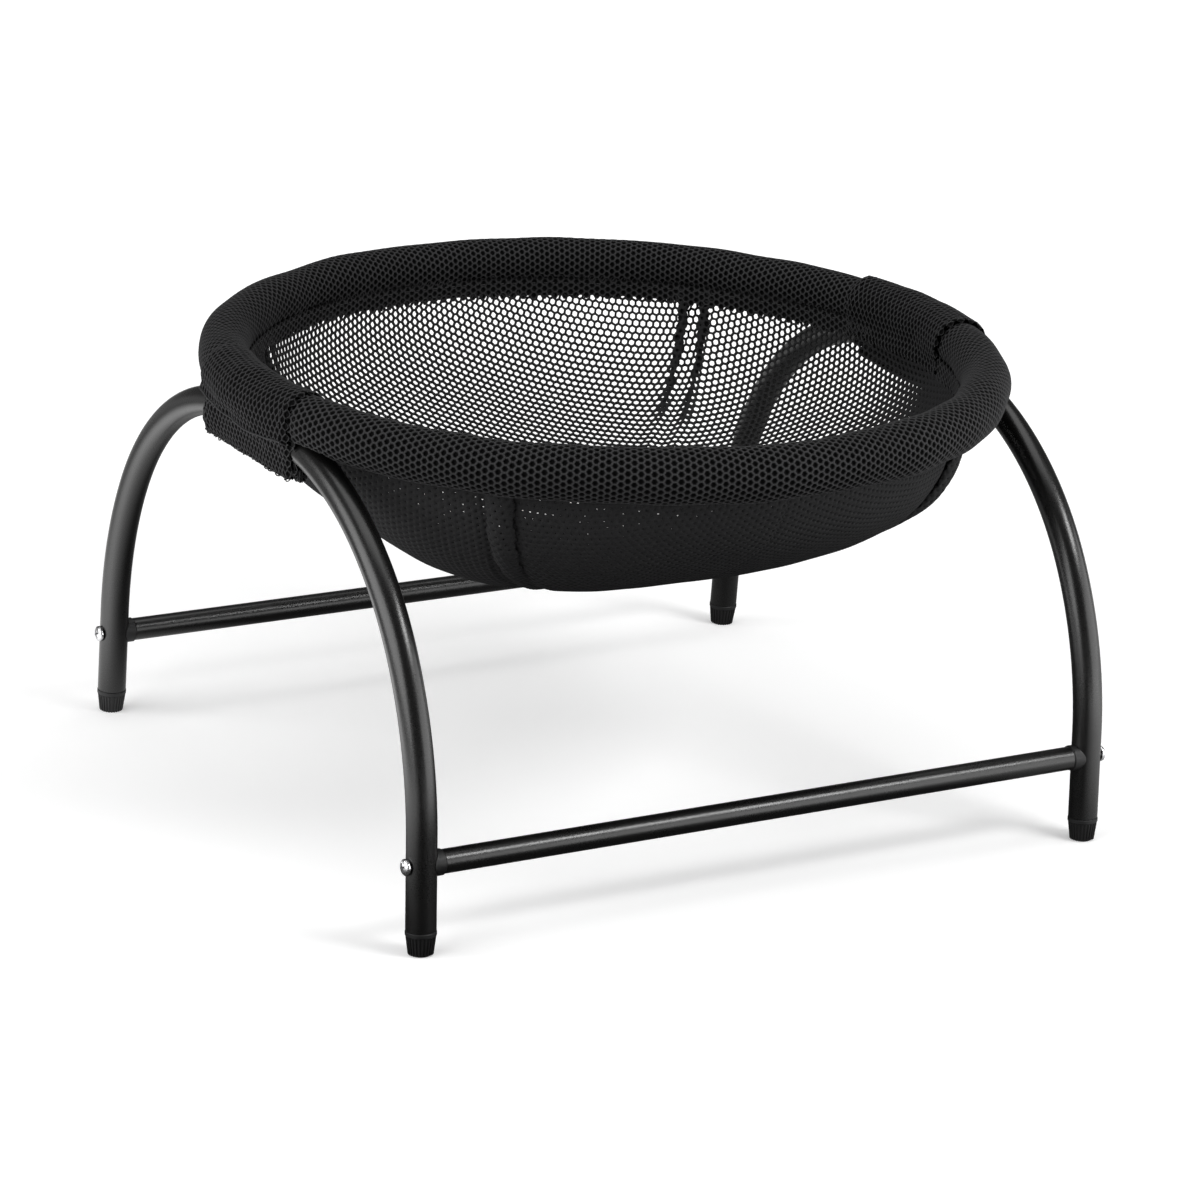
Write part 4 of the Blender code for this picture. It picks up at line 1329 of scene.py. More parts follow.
def build_net(context):
    """The net bowl in four quarters of one cut, and the binding over its seam."""
    scene = context.scene
    net, cloth = scene.bed_net, scene.bed_cloth
    bowl = Bowl(net, scene.bed_frame)

    def place(x, y):
        around, way, outward = bowl.fold(x, y)
        flat = bowl.wall(around, way)
        held = smoothstep((1.0 - way) * SEAM_HOLD)
        soft = waves(flat, "net_sag") + waves(flat, "net_crumple")
        return bowl.wall(around, way, outward + soft * held)

    wide, tall = cloth.long_pitch, cloth.short_pitch
    rows = int(net.cut_r / (tall / 2)) + 2
    columns = int(net.cut_r / wide) + 2
    cells = {quarter: [] for quarter in QUARTERS}
    for row in range(-rows, rows + 1):
        for column in range(-columns, columns + 1):
            x, y = wide * (column + 0.5 * (row % 2)), tall / 2 * row
            if math.hypot(x, y) < net.cut_r + CUT_OVER:
                quarter = ("front" if y < 0 else "rear", "left" if x < 0 else "right")
                cells[quarter].append((column, row))
    build_seam_band(net, cloth)
    pitch = (wide, tall)
    for end, side in QUARTERS:
        sheet = cell_sheet(
            "net_cells", cells[end, side], pitch, place, turned_over=True, opened=bowl.opening
        )
        panel = grown(
            f"net_bowl_{end}_{side}", sheet, net_tree, "net", hole_share=cloth.hole_share,
            strand=cloth.strand, lip=cloth.lip,
        )
        finish(panel, ["net_bowl"])


def build_seam_band(net, cloth):
    """The narrow band of spacer mesh that hangs below the rim's upper lip over the net's seam."""
    columns = round(2 * math.pi * net.seam_r / cloth.long_pitch)
    tall = cloth.short_pitch / 2
    rows = round((net.band_rise + net.band_drop) / tall)
    face = net.seam_r - cloth.strand / 2 - net.band_t - GAP

    def place(u, v):
        around = ring_turn(u, columns, cloth)
        ring = round_bed(1.0, around, np.zeros_like(u))
        up = v / (rows * tall)
        sway = waves(ring, "band_sway") + waves(ring, "band_fray")
        height = net.seam_z - net.band_drop + v + sway * (1.0 - up)
        radius = face + waves(ring, "band_swell") * (1.0 - up) - BAND_LEAN * up
        return round_bed(radius, around, height)

    cells = [(column, row) for row in range(rows + 1) for column in range(columns)]
    pitch = (cloth.long_pitch, cloth.short_pitch)
    sheet = cell_sheet("band_cells", cells, pitch, place, wrap=columns, turned_over=True)
    band = spacer_mesh("seam_band", sheet, cloth, net.band_t)
    finish(band)
    points = [
        (face * math.cos(way), face * math.sin(way), net.seam_z - STITCH_DROP)
        for way in np.linspace(0.0, 2 * math.pi, 360, endpoint=False)
    ]
    stitches = sew("seam_stitches", path_mesh("seam_line", points, closed=True))


def sew(name, path):
    """A run of stitches along a path."""
    sleeves = bpy.context.scene.bed_sleeves
    run = grown(
        name, path, stitch_tree, "thread", step=sleeves.stitch_step, stitch=sleeves.stitch,
        thread=sleeves.thread,
    )
    return finish(run)


# The sleeves


STATIONS, LINE_STEPS = 13, 240  # lines round a sleeve, and points kept on each
SMOOTHINGS = 3  # times that each line is evened out
TAPE_SHIFT = 0.001  # how far the tapes lie outside an arch's middle
TAPE_HALF = 0.00125  # half the thickness of the two tapes together
TAB_STEPS, ROLL_STEPS, INNER_STEPS = 12, 134, 8
ROLL_END = math.radians(196.0)  # turn of the roll at which the line leaves it for the wall
EDGE_ON = 0.97  # cosine of the turn at which the tab leaves the tube, at most
TAB_JOIN = 0.001  # height left between the tab's line and the tube's
INNER_START = 0.0035  # how far below the seam the line meets the wall
WAY_STEP = 0.004  # share of a line over which its slope is read
LEAD_END = 0.30  # share of a line up to which the tab's corner is drawn back


def evened(line):
    """Takes the corners out of a line of points."""
    line[1:-1] = (line[:-2] + 2 * line[1:-1] + line[2:]) / 4


class Wrap:
    """The taut line of a sleeve, from the bottom of its tab over the rim to its inner end."""

    def __init__(self, scene, room):
        self.scene, self.room = scene, room
        sleeves = scene.bed_sleeves
        self.stations = np.linspace(-sleeves.front, sleeves.rear, STATIONS)
        self.steps = np.linspace(0.0, 1.0, LINE_STEPS)
        bowl = Bowl(scene.bed_net, scene.bed_frame)
        lines, spans = [], []
        for around in self.stations:
            line = self.line(around, bowl)
            for _ in range(SMOOTHINGS):
                evened(line)
            span = run_of(line)
            spans.append(span[-1])
            way = span / span[-1]
            lines.append(np.stack(
                [np.interp(self.steps, way, line[:, part]) for part in (0, 1)], axis=1
            ))
        self.lines = np.array(lines)
        self.span = spans[len(spans) // 2]

    def line(self, around, bowl):
        """The (radius, height) line at one angle."""
        scene, room = self.scene, self.room
        rim, sizes, sleeves = scene.bed_rim, scene.bed_frame, scene.bed_sleeves
        half_x = sizes.spacing / 2
        slant = 1.0 / math.cos(around)
        centre = float(arch_height(sizes, half_x * math.tan(around)))
        tube = sizes.tube_d / 2 + room
        top = arch_half(sizes)[-1][1]
        way = (around + sleeves.front) / (sleeves.front + sleeves.rear)
        out = sleeves.tab_out + sleeves.tab_flare * way
        tab = half_x + TAPE_SHIFT + TAPE_HALF + sleeves.thickness + GAP + out
        first = -math.acos(min((tab - half_x) / tube, EDGE_ON))
        low, high = top - sleeves.tab_drop, centre + tube * math.sin(first) - TAB_JOIN
        line = [
            ((tab - sleeves.tab_in * out * (1.0 - part) ** 2) * slant, low + (high - low) * part)
            for part in np.linspace(0.0, 1.0, TAB_STEPS)
        ]
        for turn in np.linspace(first, ROLL_END, ROLL_STEPS):
            across, up = math.cos(turn), math.sin(turn)
            wide, high = rim.width / 2 + room, rim.height / 2 + room
            norm = math.hypot(wide * across, high * up)
            roll = (rim.hoop_r + wide**2 * across / norm, rim.centre_z + high**2 * up / norm)
            pipe = ((half_x + tube * across) * slant, centre + tube * up)
            near = pipe[0] * across + pipe[1] * up > roll[0] * across + roll[1] * up
            line.append(pipe if turn < 0 and near else roll)
        drops = np.linspace(INNER_START, sleeves.inner_drop, INNER_STEPS)
        ways = 1.0 - drops / bowl.spans[EVEN_LOBE]
        inner = bowl.wall(np.full(INNER_STEPS, around), ways)
        radii = np.hypot(inner[:, 0], inner[:, 1]) - room - GAP
        line += list(zip(radii, inner[:, 2]))
        return np.array(line)

    def at(self, around, way):
        """Points at some angles and shares of the way along the line, and the way off them."""
        row = np.clip(self.station(around), 0.0, STATIONS - 1.0)
        flat = read_table(self.lines, row, np.clip(way, 0.0, 1.0) * (LINE_STEPS - 1))
        ahead, behind = np.minimum(way + WAY_STEP, 1.0), np.maximum(way - WAY_STEP, 0.0)
        run = self.simple(around, ahead) - self.simple(around, behind)
        size = np.linalg.norm(run, axis=1, keepdims=True) + TINY
        return flat, np.stack([run[:, 1], -run[:, 0]], axis=1) / size

    def station(self, around):
        """The place of some angles among the stations."""
        return (around - self.stations[0]) / (self.stations[1] - self.stations[0])

    def simple(self, around, way):
        """The line at the nearest station, for its slope."""
        row = np.clip(np.round(self.station(around)), 0, STATIONS - 1).astype(int)
        column = np.clip(np.round(way * (LINE_STEPS - 1)), 0, LINE_STEPS - 1).astype(int)
        return self.lines[row, column]

    def place(self, side, along, way, lift=0.0):
        """Points in space: along is the distance round the rim from the arch's middle."""
        sleeves, hoop_r = self.scene.bed_sleeves, self.scene.bed_rim.hoop_r
        around = along / hoop_r
        ahead = (sleeves.rear - around) / (sleeves.rear + sleeves.front)
        lead = sleeves.tab_lead * ahead * (1.0 - smoothstep(way / LEAD_END))
        around = around + lead / hoop_r
        flat, outward = self.at(around, way)
        spot = flat + outward * np.reshape(lift, (-1, 1))
        return round_bed(spot[:, 0], around, spot[:, 1]) * (side, 1.0, 1.0)


FOLD_AT = 0.235  # where a sleeve folds over, as a share of its line
FOLD_SWAY, FOLD_TURNS = 0.022, 48.0  # how far the fold winds, and how often
CREASE, CREASE_W = 0.0014, 0.022  # height of the fold's crease, and its share of the line
HOLLOW, HOLLOW_W, HOLLOW_OFF = 0.0012, 0.025, 0.045  # the hollow below it
FOLD_SIDES = 10  # sides of the ridge on the fold
ROLL_DEPTH = 0.0018  # how far a sleeve's edges roll under
LINE_SPAN = 0.16  # metres that a line counts for in the unevenness
ROW_SLANT = 0.003  # how far the rows slant from the tab to the inner end
LAST_CELL = 0.2  # share of a cell that stays free at the inner end
SLEEVE_SEEDS = (11, 18)


def fold_way(along, seed):
    """Where a sleeve's tab folds over from the rim, as a share of the way along its line."""
    return FOLD_AT + FOLD_SWAY * np.sin(along * FOLD_TURNS + seed)


def sleeve_relief(sleeves, ends, along, way, seed):
    """How far a sleeve's mesh stands off its line: puckers, creases, edges rolled under."""
    spots = np.stack([along, way * LINE_SPAN, np.full_like(along, seed)], axis=1)
    soft = waves(spots, "sleeve_pucker", seed) + waves(spots, "sleeve_crumple", seed)
    bend = fold_way(along, seed)
    crease = CREASE * np.exp(-(((way - bend) / CREASE_W) ** 2))
    hollow = -HOLLOW * np.exp(-(((way - bend + HOLLOW_OFF) / HOLLOW_W) ** 2))
    inside = np.minimum(along - ends[0], ends[1] - along)
    rolled = np.clip(1.0 - inside / sleeves.curl, 0.0, 1.0) ** 2
    return soft + crease + hollow - ROLL_DEPTH * rolled


def build_sleeves(context):
    """The two sleeves with their raw edges, stitches, flaps and tapes."""
    scene = context.scene
    rim, sleeves, cloth = scene.bed_rim, scene.bed_sleeves, scene.bed_cloth
    wrap = Wrap(scene, sleeves.room)
    pitch = (cloth.sleeve_long, cloth.sleeve_short)
    ends = (-sleeves.front * rim.hoop_r, sleeves.rear * rim.hoop_r)
    rows = int((ends[1] - ends[0]) / (pitch[1] / 2)) - 1
    first = (ends[0] + ends[1] - rows * pitch[1] / 2) / 2
    cells = cells_before(wrap.span - LAST_CELL * pitch[0], range(rows + 1), pitch[0])
    for seed, (name, side) in zip(SLEEVE_SEEDS, SIDES):

        def place(u, v, side=side, seed=seed):
            spots = np.stack([u, v, np.full_like(u, seed)], axis=1)
            way = np.clip((u + waves(spots, "sleeve_skew", seed)) / wrap.span, 0.0, 1.0)
            along = first + v + waves(spots, "sleeve_drift", seed) + ROW_SLANT * (way - 0.5)
            return wrap.place(side, along, way, sleeve_relief(sleeves, ends, along, way, seed))

        sheet = cell_sheet(
            "sleeve_cells", cells, pitch, place, turned_over=side > 0, reach=cloth.sleeve_reach
        )
        band = spacer_mesh(
            f"{name}_sleeve_band", sheet, cloth, sleeves.thickness, cloth.sleeve_pit,
            cloth.sleeve_stretch,
        )
        finish(band, [f"{name}_sleeve"])
        extras = []
        for end_name, end in ENDS:
            extras += build_raw_edge(name, side, end_name, end, wrap, ends, seed)
        extras += build_tab_edge(name, side, wrap, ends, seed)
        extras += build_fold(name, side, wrap, ends, seed)
        extras += build_tapes(name, side)
        build_flap(name, side, scene, ends)


ACROSS_POWER, UP_POWER = 0.6, 0.8  # how square a strip's section is
LOOP_STEP = 1.3  # distance between loose loops against their radius
EDGE_STEPS, EDGE_START, EDGE_END = 60, 0.004, 0.44  # the raw edge along a sleeve's line
EDGE_RUN = (0.46, 0.10)  # where the raw edge has gone under the mesh, and over what share
EDGE_UNDER = 0.55  # share of the raw edge that lies under the mesh
EDGE_WANDER, EDGE_SINK = 0.0008, 0.0006  # how far the raw edge wanders, and sinks
WANDER_WAVES, SINK_WAVES = 34.0, 21.0  # how often it does so along the line
LOOPS_OUT = 0.42  # share of the raw edge's width at which its loops sit
SEAM_INSET, SEAM_SINK = 0.0022, 0.0001  # the stitches behind the rolled edge, and their depth
SEAM_STEPS, SEAM_START, SEAM_END = 110, 0.01, 0.97
TAB_END, TAB_SINK = 0.001, 0.0006  # the tab's loops: how far from its corners, how deep


def strip_section(half_w, half_t, turns=16):
    """Section of a flat strip with round edges, as (across, up) points."""
    ways = np.linspace(0.0, 2 * math.pi, turns, endpoint=False)
    across = half_w * np.sign(np.cos(ways)) * np.abs(np.cos(ways)) ** ACROSS_POWER
    up = half_t * np.sign(np.sin(ways)) * np.abs(np.sin(ways)) ** UP_POWER
    return across, up


def loose_loops(name, points, seed):
    """A run of loose yarn loops along a raw edge."""
    sleeves = bpy.context.scene.bed_sleeves
    run = grown(
        name, path_mesh("raw_edge", points), loop_tree, "thread",
        step=sleeves.loop_r * LOOP_STEP, loop_radius=sleeves.loop_r, yarn=sleeves.yarn,
        seed=seed,
    )
    return finish(run)


def build_raw_edge(name, side, end_name, end, wrap, ends, seed):
    """The turned-in cloth that shows past a sleeve's end, its loops, and the row of stitches."""
    sleeves = wrap.scene.bed_sleeves
    rim_end = ends[0] if end < 0 else ends[1]
    across, up = strip_section(sleeves.edge_w / 2, sleeves.edge_t / 2)
    gone, over = EDGE_RUN
    loops, edge = [], []
    for way in np.linspace(EDGE_START, EDGE_END, EDGE_STEPS):
        wander = EDGE_WANDER * noise.noise(Vector((way * WANDER_WAVES, seed + 2.0, end * 3.0)))
        sink = EDGE_SINK * noise.noise(Vector((way * SINK_WAVES, seed, end * 5.0)))
        reach = min(1.0, (gone - way) / over)
        middle = rim_end + end * (sleeves.edge_w * (reach - EDGE_UNDER) + wander)
        depth = -sleeves.edge_depth - sink
        loops.append(wrap.place(side, middle + across, np.full(len(across), way), up + depth))
        outer = middle + end * sleeves.edge_w * LOOPS_OUT
        edge.append(wrap.place(side, np.array([outer]), np.array([way]), depth)[0])
    strip = lofted(f"{name}_sleeve_edge_{end_name}", loops, finish_of("binding"))
    finish(strip)
    run = loose_loops(f"{name}_sleeve_loops_{end_name}", edge, seed + 3 * (end > 0))
    ways = np.linspace(SEAM_START, SEAM_END, SEAM_STEPS)
    spots = np.full(SEAM_STEPS, rim_end - end * (sleeves.curl + SEAM_INSET))
    lift = sleeve_relief(sleeves, ends, spots, ways, seed) - SEAM_SINK
    seam = wrap.place(side, spots, ways, lift)
    stitches = sew(f"{name}_sleeve_stitch_{end_name}", path_mesh("edge_seam", seam))
    return [strip, run, stitches]


def build_tab_edge(name, side, wrap, ends, seed):
    """The loops along the raw bottom edge of a sleeve's tab."""
    spots = np.linspace(ends[0] + TAB_END, ends[1] - TAB_END, EDGE_STEPS)
    low = wrap.place(
        side, spots, np.full(EDGE_STEPS, EDGE_START), np.full(EDGE_STEPS, -TAB_SINK)
    )
    return [loose_loops(f"{name}_sleeve_loops_tab", low, seed + 9)]


FLAP_TIGHT = 0.0004  # how much closer than a sleeve the flap lies to the tube
FLAP_JOIN = 0.0006  # height left between the flap's hanging part and the tube
FLAP_STEPS, FLAP_TURNS = 8, np.radians(np.linspace(240.0, 165.0, 20))
FLAP_END = 0.001  # length that stays free at the flap's top


def flap_line(scene, around):
    """The flap's (radius, height) line at one angle, from its lower edge up over the tube."""
    sizes, sleeves = scene.bed_frame, scene.bed_sleeves
    half_x = sizes.spacing / 2
    tube = sizes.tube_d / 2 + sleeves.room - FLAP_TIGHT
    tab = half_x + TAPE_SHIFT - TAPE_HALF - sleeves.thickness - GAP
    slant = 1.0 / math.cos(around)
    centre = float(arch_height(sizes, half_x * math.tan(around)))
    low = arch_half(sizes)[-1][1] - sleeves.tab_drop
    points = [
        (tab * slant, height) for height in np.linspace(low, centre - tube + FLAP_JOIN, FLAP_STEPS)
    ]
    points += [
        ((half_x + tube * math.cos(turn)) * slant, centre + tube * math.sin(turn))
        for turn in FLAP_TURNS
    ]
    points = np.array(points)
    evened(points)
    return points


def build_flap(name, side, scene, ends):
    """The flap inside the arch, in the same mesh, facing the bowl."""
    cloth, hoop_r = scene.bed_cloth, scene.bed_rim.hoop_r
    span = run_of(flap_line(scene, 0.0))[-1]
    lines = {}

    def place(u, v):
        made = []
        for reach, along in zip(u, v):
            key = round(float(along), 5)
            if key not in lines:
                line = flap_line(scene, key / hoop_r)
                lines[key] = line, run_of(line)
            line, run = lines[key]
            spot = min(max(reach / span, 0.0), 1.0) * run[-1]
            made.append([np.interp(spot, run, line[:, part]) for part in (0, 1)])
        radius, height = np.array(made).T
        return round_bed(radius, v / hoop_r, height) * (side, 1.0, 1.0)

    low_row, high_row = (int(spot / (cloth.short_pitch / 2)) for spot in ends)
    cells = cells_before(span - FLAP_END, range(low_row, high_row + 1), cloth.long_pitch)
    pitch = (cloth.long_pitch, cloth.short_pitch)
    sheet = cell_sheet("flap_cells", cells, pitch, place, turned_over=side < 0)
    flap = spacer_mesh(f"{name}_flap_band", sheet, cloth, scene.bed_sleeves.thickness)
    finish(flap, [f"{name}_sleeve_flap"])


def build_fold(name, side, wrap, ends, seed):
    """The pressed ridge where a sleeve's tab folds over."""
    sleeves = wrap.scene.bed_sleeves
    spots = np.linspace(ends[0] + sleeves.curl, ends[1] - sleeves.curl, EDGE_STEPS)
    ways = fold_way(spots, seed)
    line = wrap.place(side, spots, ways, sleeve_relief(sleeves, ends, spots, ways, seed))
    ridge = grown(
        f"{name}_sleeve_fold", path_mesh("fold_line", line), tube_tree, "spacer",
        diameter=sleeves.fold, sides=FOLD_SIDES,
    )
    return [finish(ridge)]


TAPES = (("hook", 0.8, 1500.0), ("loop", 1.1, 900.0))  # kind, lightness, density of its pile
TAPE_STEPS = 40
TAPE_WAVE, TAPE_WAVES = 0.12, 90.0  # how far a tape waves, against half its thickness
PILE_DEPTH = 0.0003


def build_tapes(name, side):
    """The hook and loop tapes between the tab and the flap."""
    colours = bpy.context.scene.bed_colours
    made = []
    for kind, light, density in TAPES:
        node = f"{name}_{kind}_tape"
        low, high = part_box(node)
        middle, half = (low + high) / 2, (high - low) / 2
        across, up = strip_section(half.z, half.x, 12)
        loops = []
        for along in np.linspace(-half.y, half.y, TAPE_STEPS):
            wave = TAPE_WAVE * half.x * noise.noise(Vector((along * TAPE_WAVES, 3.0, side)))
            loops.append(np.stack([
                middle.x + up + wave, np.full(len(across), middle.y + along), middle.z + across
            ], axis=1))
        tint = shade(colours.binding, light)
        pile = tape_finish(f"{name}_{kind}_pile", tint, density, PILE_DEPTH)
        tape = lofted(f"{name}_{kind}_strip", loops, pile)
        made.append(finish(tape, [node]))
    return made


# Operators: one for each group of like pieces, and one for the stage


class BED_OT_tubes(bpy.types.Operator):
    """Make the two bent arches and the two crossbars"""

    bl_idname = "pet_bed.tubes"
    bl_label = "Arches and crossbars"

    def execute(self, context):
        sizes = context.scene.bed_frame
        half = arch_half(sizes)
        path = half + [(-y, z) for y, z in reversed(half)]
        for name, side in SIDES:
            points = [(side * sizes.spacing / 2, y, z) for y, z in path]
            tube = grown(
                f"{name}_arch_tube", path_mesh("arch_line", points), tube_tree, "coat",
                diameter=sizes.tube_d, sides=sizes.sides,
            )
            soften(tube.data)
            finish(tube, [f"{name}_arch"])
        joint = context.scene.bed_joints
        reach = sizes.spacing / 2 - sizes.tube_d / 2 - joint.saddle_neck
        for name, end in ENDS:
            points = [(x, end * bar_y(sizes), sizes.bar_h) for x in np.linspace(-reach, reach, 9)]
            tube = grown(
                f"{name}_bar_tube", path_mesh("bar_line", points), tube_tree, "coat",
                diameter=sizes.bar_d, sides=sizes.sides,
            )
            soften(tube.data)
            finish(tube, [f"{name}_crossbar"])
        return {"FINISHED"}


SADDLE_SIDES, SADDLE_EDGE, SADDLE_OFF = 48, 0.0006, 0.0001  # with its bevel and gap to the bar
DOME_LOW, DOME_RISE, DOME_END = 0.42, 0.58, 0.46 * math.pi  # the pan head's dome, by its height
HEAD_SIDE = (0.40, 0.12)  # shares of the head's height between which its side is straight
HEAD_EDGE, SCREW_BEVEL, HEAD_GAP = 0.0002, 0.0008, 0.0001
SCREW_TURN = math.radians(28.0)  # how the cross recess is turned
SCREW_SIDES, SCREW_SHARP = 48, 30.0


class BED_OT_joints(bpy.types.Operator):
    """Make the saddles and the pan head screws at the crossbar ends"""

    bl_idname = "pet_bed.joints"
    bl_label = "Saddles and screws"

    def execute(self, context):
        sizes, joint = context.scene.bed_frame, context.scene.bed_joints
        for end_name, end in ENDS:
            for side_name, side in SIDES:
                corner = f"{end_name}_{side_name}"
                saddle = self.saddle(f"saddle_collar_{corner}", sizes, joint, side, end)
                finish(saddle, [f"saddle_{corner}"])
                dress(f"bar_insert_{corner}", finish_of("zinc"))
        self.screws(sizes, joint)
        return {"FINISHED"}

    def saddle(self, name, sizes, joint, side, end):
        """A collar that is hollowed to the leg, with a soft edge at the bar."""
        outer = joint.saddle_d / 2
        bar_end = sizes.spacing / 2 - sizes.tube_d / 2 - joint.saddle_neck
        loops = []
        spots = (
            (outer - SADDLE_EDGE, SADDLE_OFF), (outer, SADDLE_OFF + SADDLE_EDGE),
            (outer, None), (outer - 2 * SADDLE_EDGE, None),
        )
        for radius, start in spots:
            loop = []
            for turn in range(SADDLE_SIDES):
                way = 2 * math.pi * turn / SADDLE_SIDES
                y, z = radius * math.cos(way), radius * math.sin(way)
                away = abs(y + end * math.tan(sizes.lean) * z)
                gap = math.sqrt(max((sizes.tube_d / 2 + GAP) ** 2 - away**2, 0.0))
                x = sizes.spacing / 2 - gap if start is None else bar_end + start
                loop.append((side * x, end * bar_y(sizes) + y, sizes.bar_h + z))
            loops.append(np.array(loop))
        return lofted(name, loops, finish_of("plastic"), sharp=35.0)

    def screws(self, sizes, joint):
        """The four screws as one piece, from one model set at four points."""
        half, tall = joint.head_d / 2, joint.head_h
        dome = [
            (half * math.sin(way), tall * (DOME_LOW + DOME_RISE * math.cos(way)))
            for way in np.linspace(0.0, DOME_END, 10)
        ]
        shank = joint.shank_d / 2
        tip = -joint.shank_l - SCREW_BEVEL
        profile = dome + [(half, tall * part) for part in HEAD_SIDE] + [
            (half - HEAD_EDGE, 0.0), (shank, 0.0), (shank, -joint.shank_l),
            (shank - SCREW_BEVEL, tip), (0.0, tip),
        ]
        model = turned("screw_model", profile, SCREW_SIDES, finish_of("zinc"), SCREW_SHARP)
        for long, wide in ((joint.slot_l, joint.slot_w), (joint.slot_w, joint.slot_l)):
            shape = bmesh.new()
            bmesh.ops.create_cube(shape, size=1.0)
            bmesh.ops.scale(shape, vec=(long, wide, 2 * joint.slot_depth), verts=shape.verts)
            bmesh.ops.translate(shape, vec=(0.0, 0.0, tall), verts=shape.verts)
            mesh = bpy.data.meshes.new("recess")
            shape.to_mesh(mesh)
            shape.free()
            cutter = add_object("recess", mesh)
            cut = model.modifiers.new("recess", "BOOLEAN")
            cut.object, cut.solver, cut.operation = cutter, "EXACT", "DIFFERENCE"
            baked(model)
            bpy.data.objects.remove(cutter)
        model.data.transform(Matrix.Rotation(SCREW_TURN, 4, "Z"))
        model.data.transform(Matrix.Rotation(QUARTER_TURN, 4, "Y"))
        soften(model.data, SCREW_SHARP)
        face = sizes.spacing / 2 + sizes.tube_d / 2 + HEAD_GAP
        points = [
            (side * face, end * bar_y(sizes), sizes.bar_h) for _, side in SIDES for _, end in ENDS
        ]
        screws = grown(
            "pan_screws", mesh_of("screw_points", points, ()), screw_tree, "zinc", screw=model
        )
        bpy.data.objects.remove(model)
        soften(screws.data, SCREW_SHARP)
        nodes = [f"screw_{end}_{side}" for side, _ in SIDES for end, _ in ENDS]
        finish(screws, nodes)


CAP_SIDES, CAP_EDGE, CAP_STEP = 52, 0.0004, 0.0003  # bevels above and below a cap's collar
WAIST_IN = 0.0007  # how far inside the collar the taper starts
TOE_IN, TOE_UP, SOLE_IN, SOLE_UP = 0.0002, 0.0009, 0.0010, 0.0001  # the rounded toe
RIB_SHORT, RIB_LIFT = 0.0010, 0.0004  # how much shorter a rib is than the taper, how far raised
SOLE_BAND, SOLE_DROP, SOLE_LOW = 0.0012, 0.0006, 0.00005  # what is pressed flat on the floor


class BED_OT_feet(bpy.types.Operator):
    """Make the four ribbed foot caps"""

    bl_idname = "pet_bed.feet"
    bl_label = "Foot caps"

    def execute(self, context):
        sizes, foot = context.scene.bed_frame, context.scene.bed_feet
        collar, toe = foot.collar_d / 2, foot.toe_d / 2
        top = foot.taper_h + foot.collar_h
        waist = collar - WAIST_IN
        profile = (
            (0.0, top), (collar - CAP_EDGE, top), (collar, top - CAP_EDGE),
            (collar, foot.taper_h + CAP_STEP), (collar - CAP_STEP, foot.taper_h),
            (waist, foot.taper_h), (toe - TOE_IN, TOE_UP), (toe - SOLE_IN, SOLE_UP),
            (0.0, SOLE_UP),
        )
        taper = math.atan((waist - toe) / foot.taper_h)
        for end_name, end in ENDS:
            for side_name, side in SIDES:
                body = turned("cap_body", profile, CAP_SIDES, finish_of("plastic"))
                mesh = body.data
                bpy.data.objects.remove(body)
                cap = grown(
                    f"foot_cap_{end_name}_{side_name}", mesh, rib_tree, "plastic",
                    ribs=foot.ribs, rib_radius=foot.rib_r, rib_length=foot.taper_h - RIB_SHORT,
                    ring_radius=(waist + toe) / 2, ring_height=foot.taper_h / 2 + RIB_LIFT,
                    taper=taper,
                )
                lean = end * sizes.lean
                cap.data.transform(Matrix.Rotation(lean, 4, "X"))
                for vert in cap.data.vertices:
                    if vert.co.z < SOLE_BAND:
                        vert.co.z = max(vert.co.z - SOLE_DROP, SOLE_LOW)
                cap.data.transform(Matrix.Translation(
                    (side * sizes.spacing / 2, end * sizes.foot_spread / 2, 0.0)
                ))
                soften(cap.data, 35.0)
                finish(cap, [f"foot_{end_name}_{side_name}"])
        return {"FINISHED"}


class BED_OT_rim(bpy.types.Operator):
    """Make the padded rim and dress the hoop inside it"""

    bl_idname = "pet_bed.rim"
    bl_label = "Padded rim"

    def execute(self, context):
        build_rim(context)
        return {"FINISHED"}


class BED_OT_net(bpy.types.Operator):
    """Make the net bowl with its pleats and its seam binding"""

    bl_idname = "pet_bed.net"
    bl_label = "Net bowl"

    def execute(self, context):
        build_net(context)
        return {"FINISHED"}


class BED_OT_sleeves(bpy.types.Operator):
    """Make the sleeves that hold the rim on the arches"""

    bl_idname = "pet_bed.sleeves"
    bl_label = "Sleeves"

    def execute(self, context):
        build_sleeves(context)
        return {"FINISHED"}


FLOOR_SEEN = (0.86, 0.86, 0.86)
FLOOR_GLOW = (0.29, 0.8, 0.45, 1.6)  # its own light near and far, and between which distances
ASIDE, AHEAD = (0.864, -0.503, 0.0), (0.503, 0.864, 0.0)  # level, to the camera's right and away
CARD_LIGHT = 3.0
# Bright cards that only the tubes see in the floor: place from left to right, and lightness
CARDS = (
    (0.15, 0.1), (0.82, 0.8), (0.26, 1.0), (0.30, 1.0), (0.36, 0.4), (0.42, 0.0), (0.62, 0.0),
)
CARD_FADE = (1.0, 0.35, -0.05, 0.2)  # the cards' light near and far, and between which places
REAR_CARD = (0.0, 0.35, 0.05, 0.5)  # the same of a soft card at the rear
ROOM_LIGHT = (0.10, 1.0)  # the white room as the bed and as the camera see it
LAMP_AIM = (0.0, 0.0, 0.15)
LAMPS = (  # name, place, width, height and power
    ("overhead_box", (0.1, 0.2, 2.4), 2.2, 2.2, 26.0),
    ("front_box", (0.95, -1.28, 1.55), 0.8, 0.5, 19.0),
    ("left_box", (-2.00, 0.00, 0.85), 2.8, 1.4, 46.0),
    ("right_box", (1.41, -1.27, 0.50), 2.6, 1.0, 20.0),
)
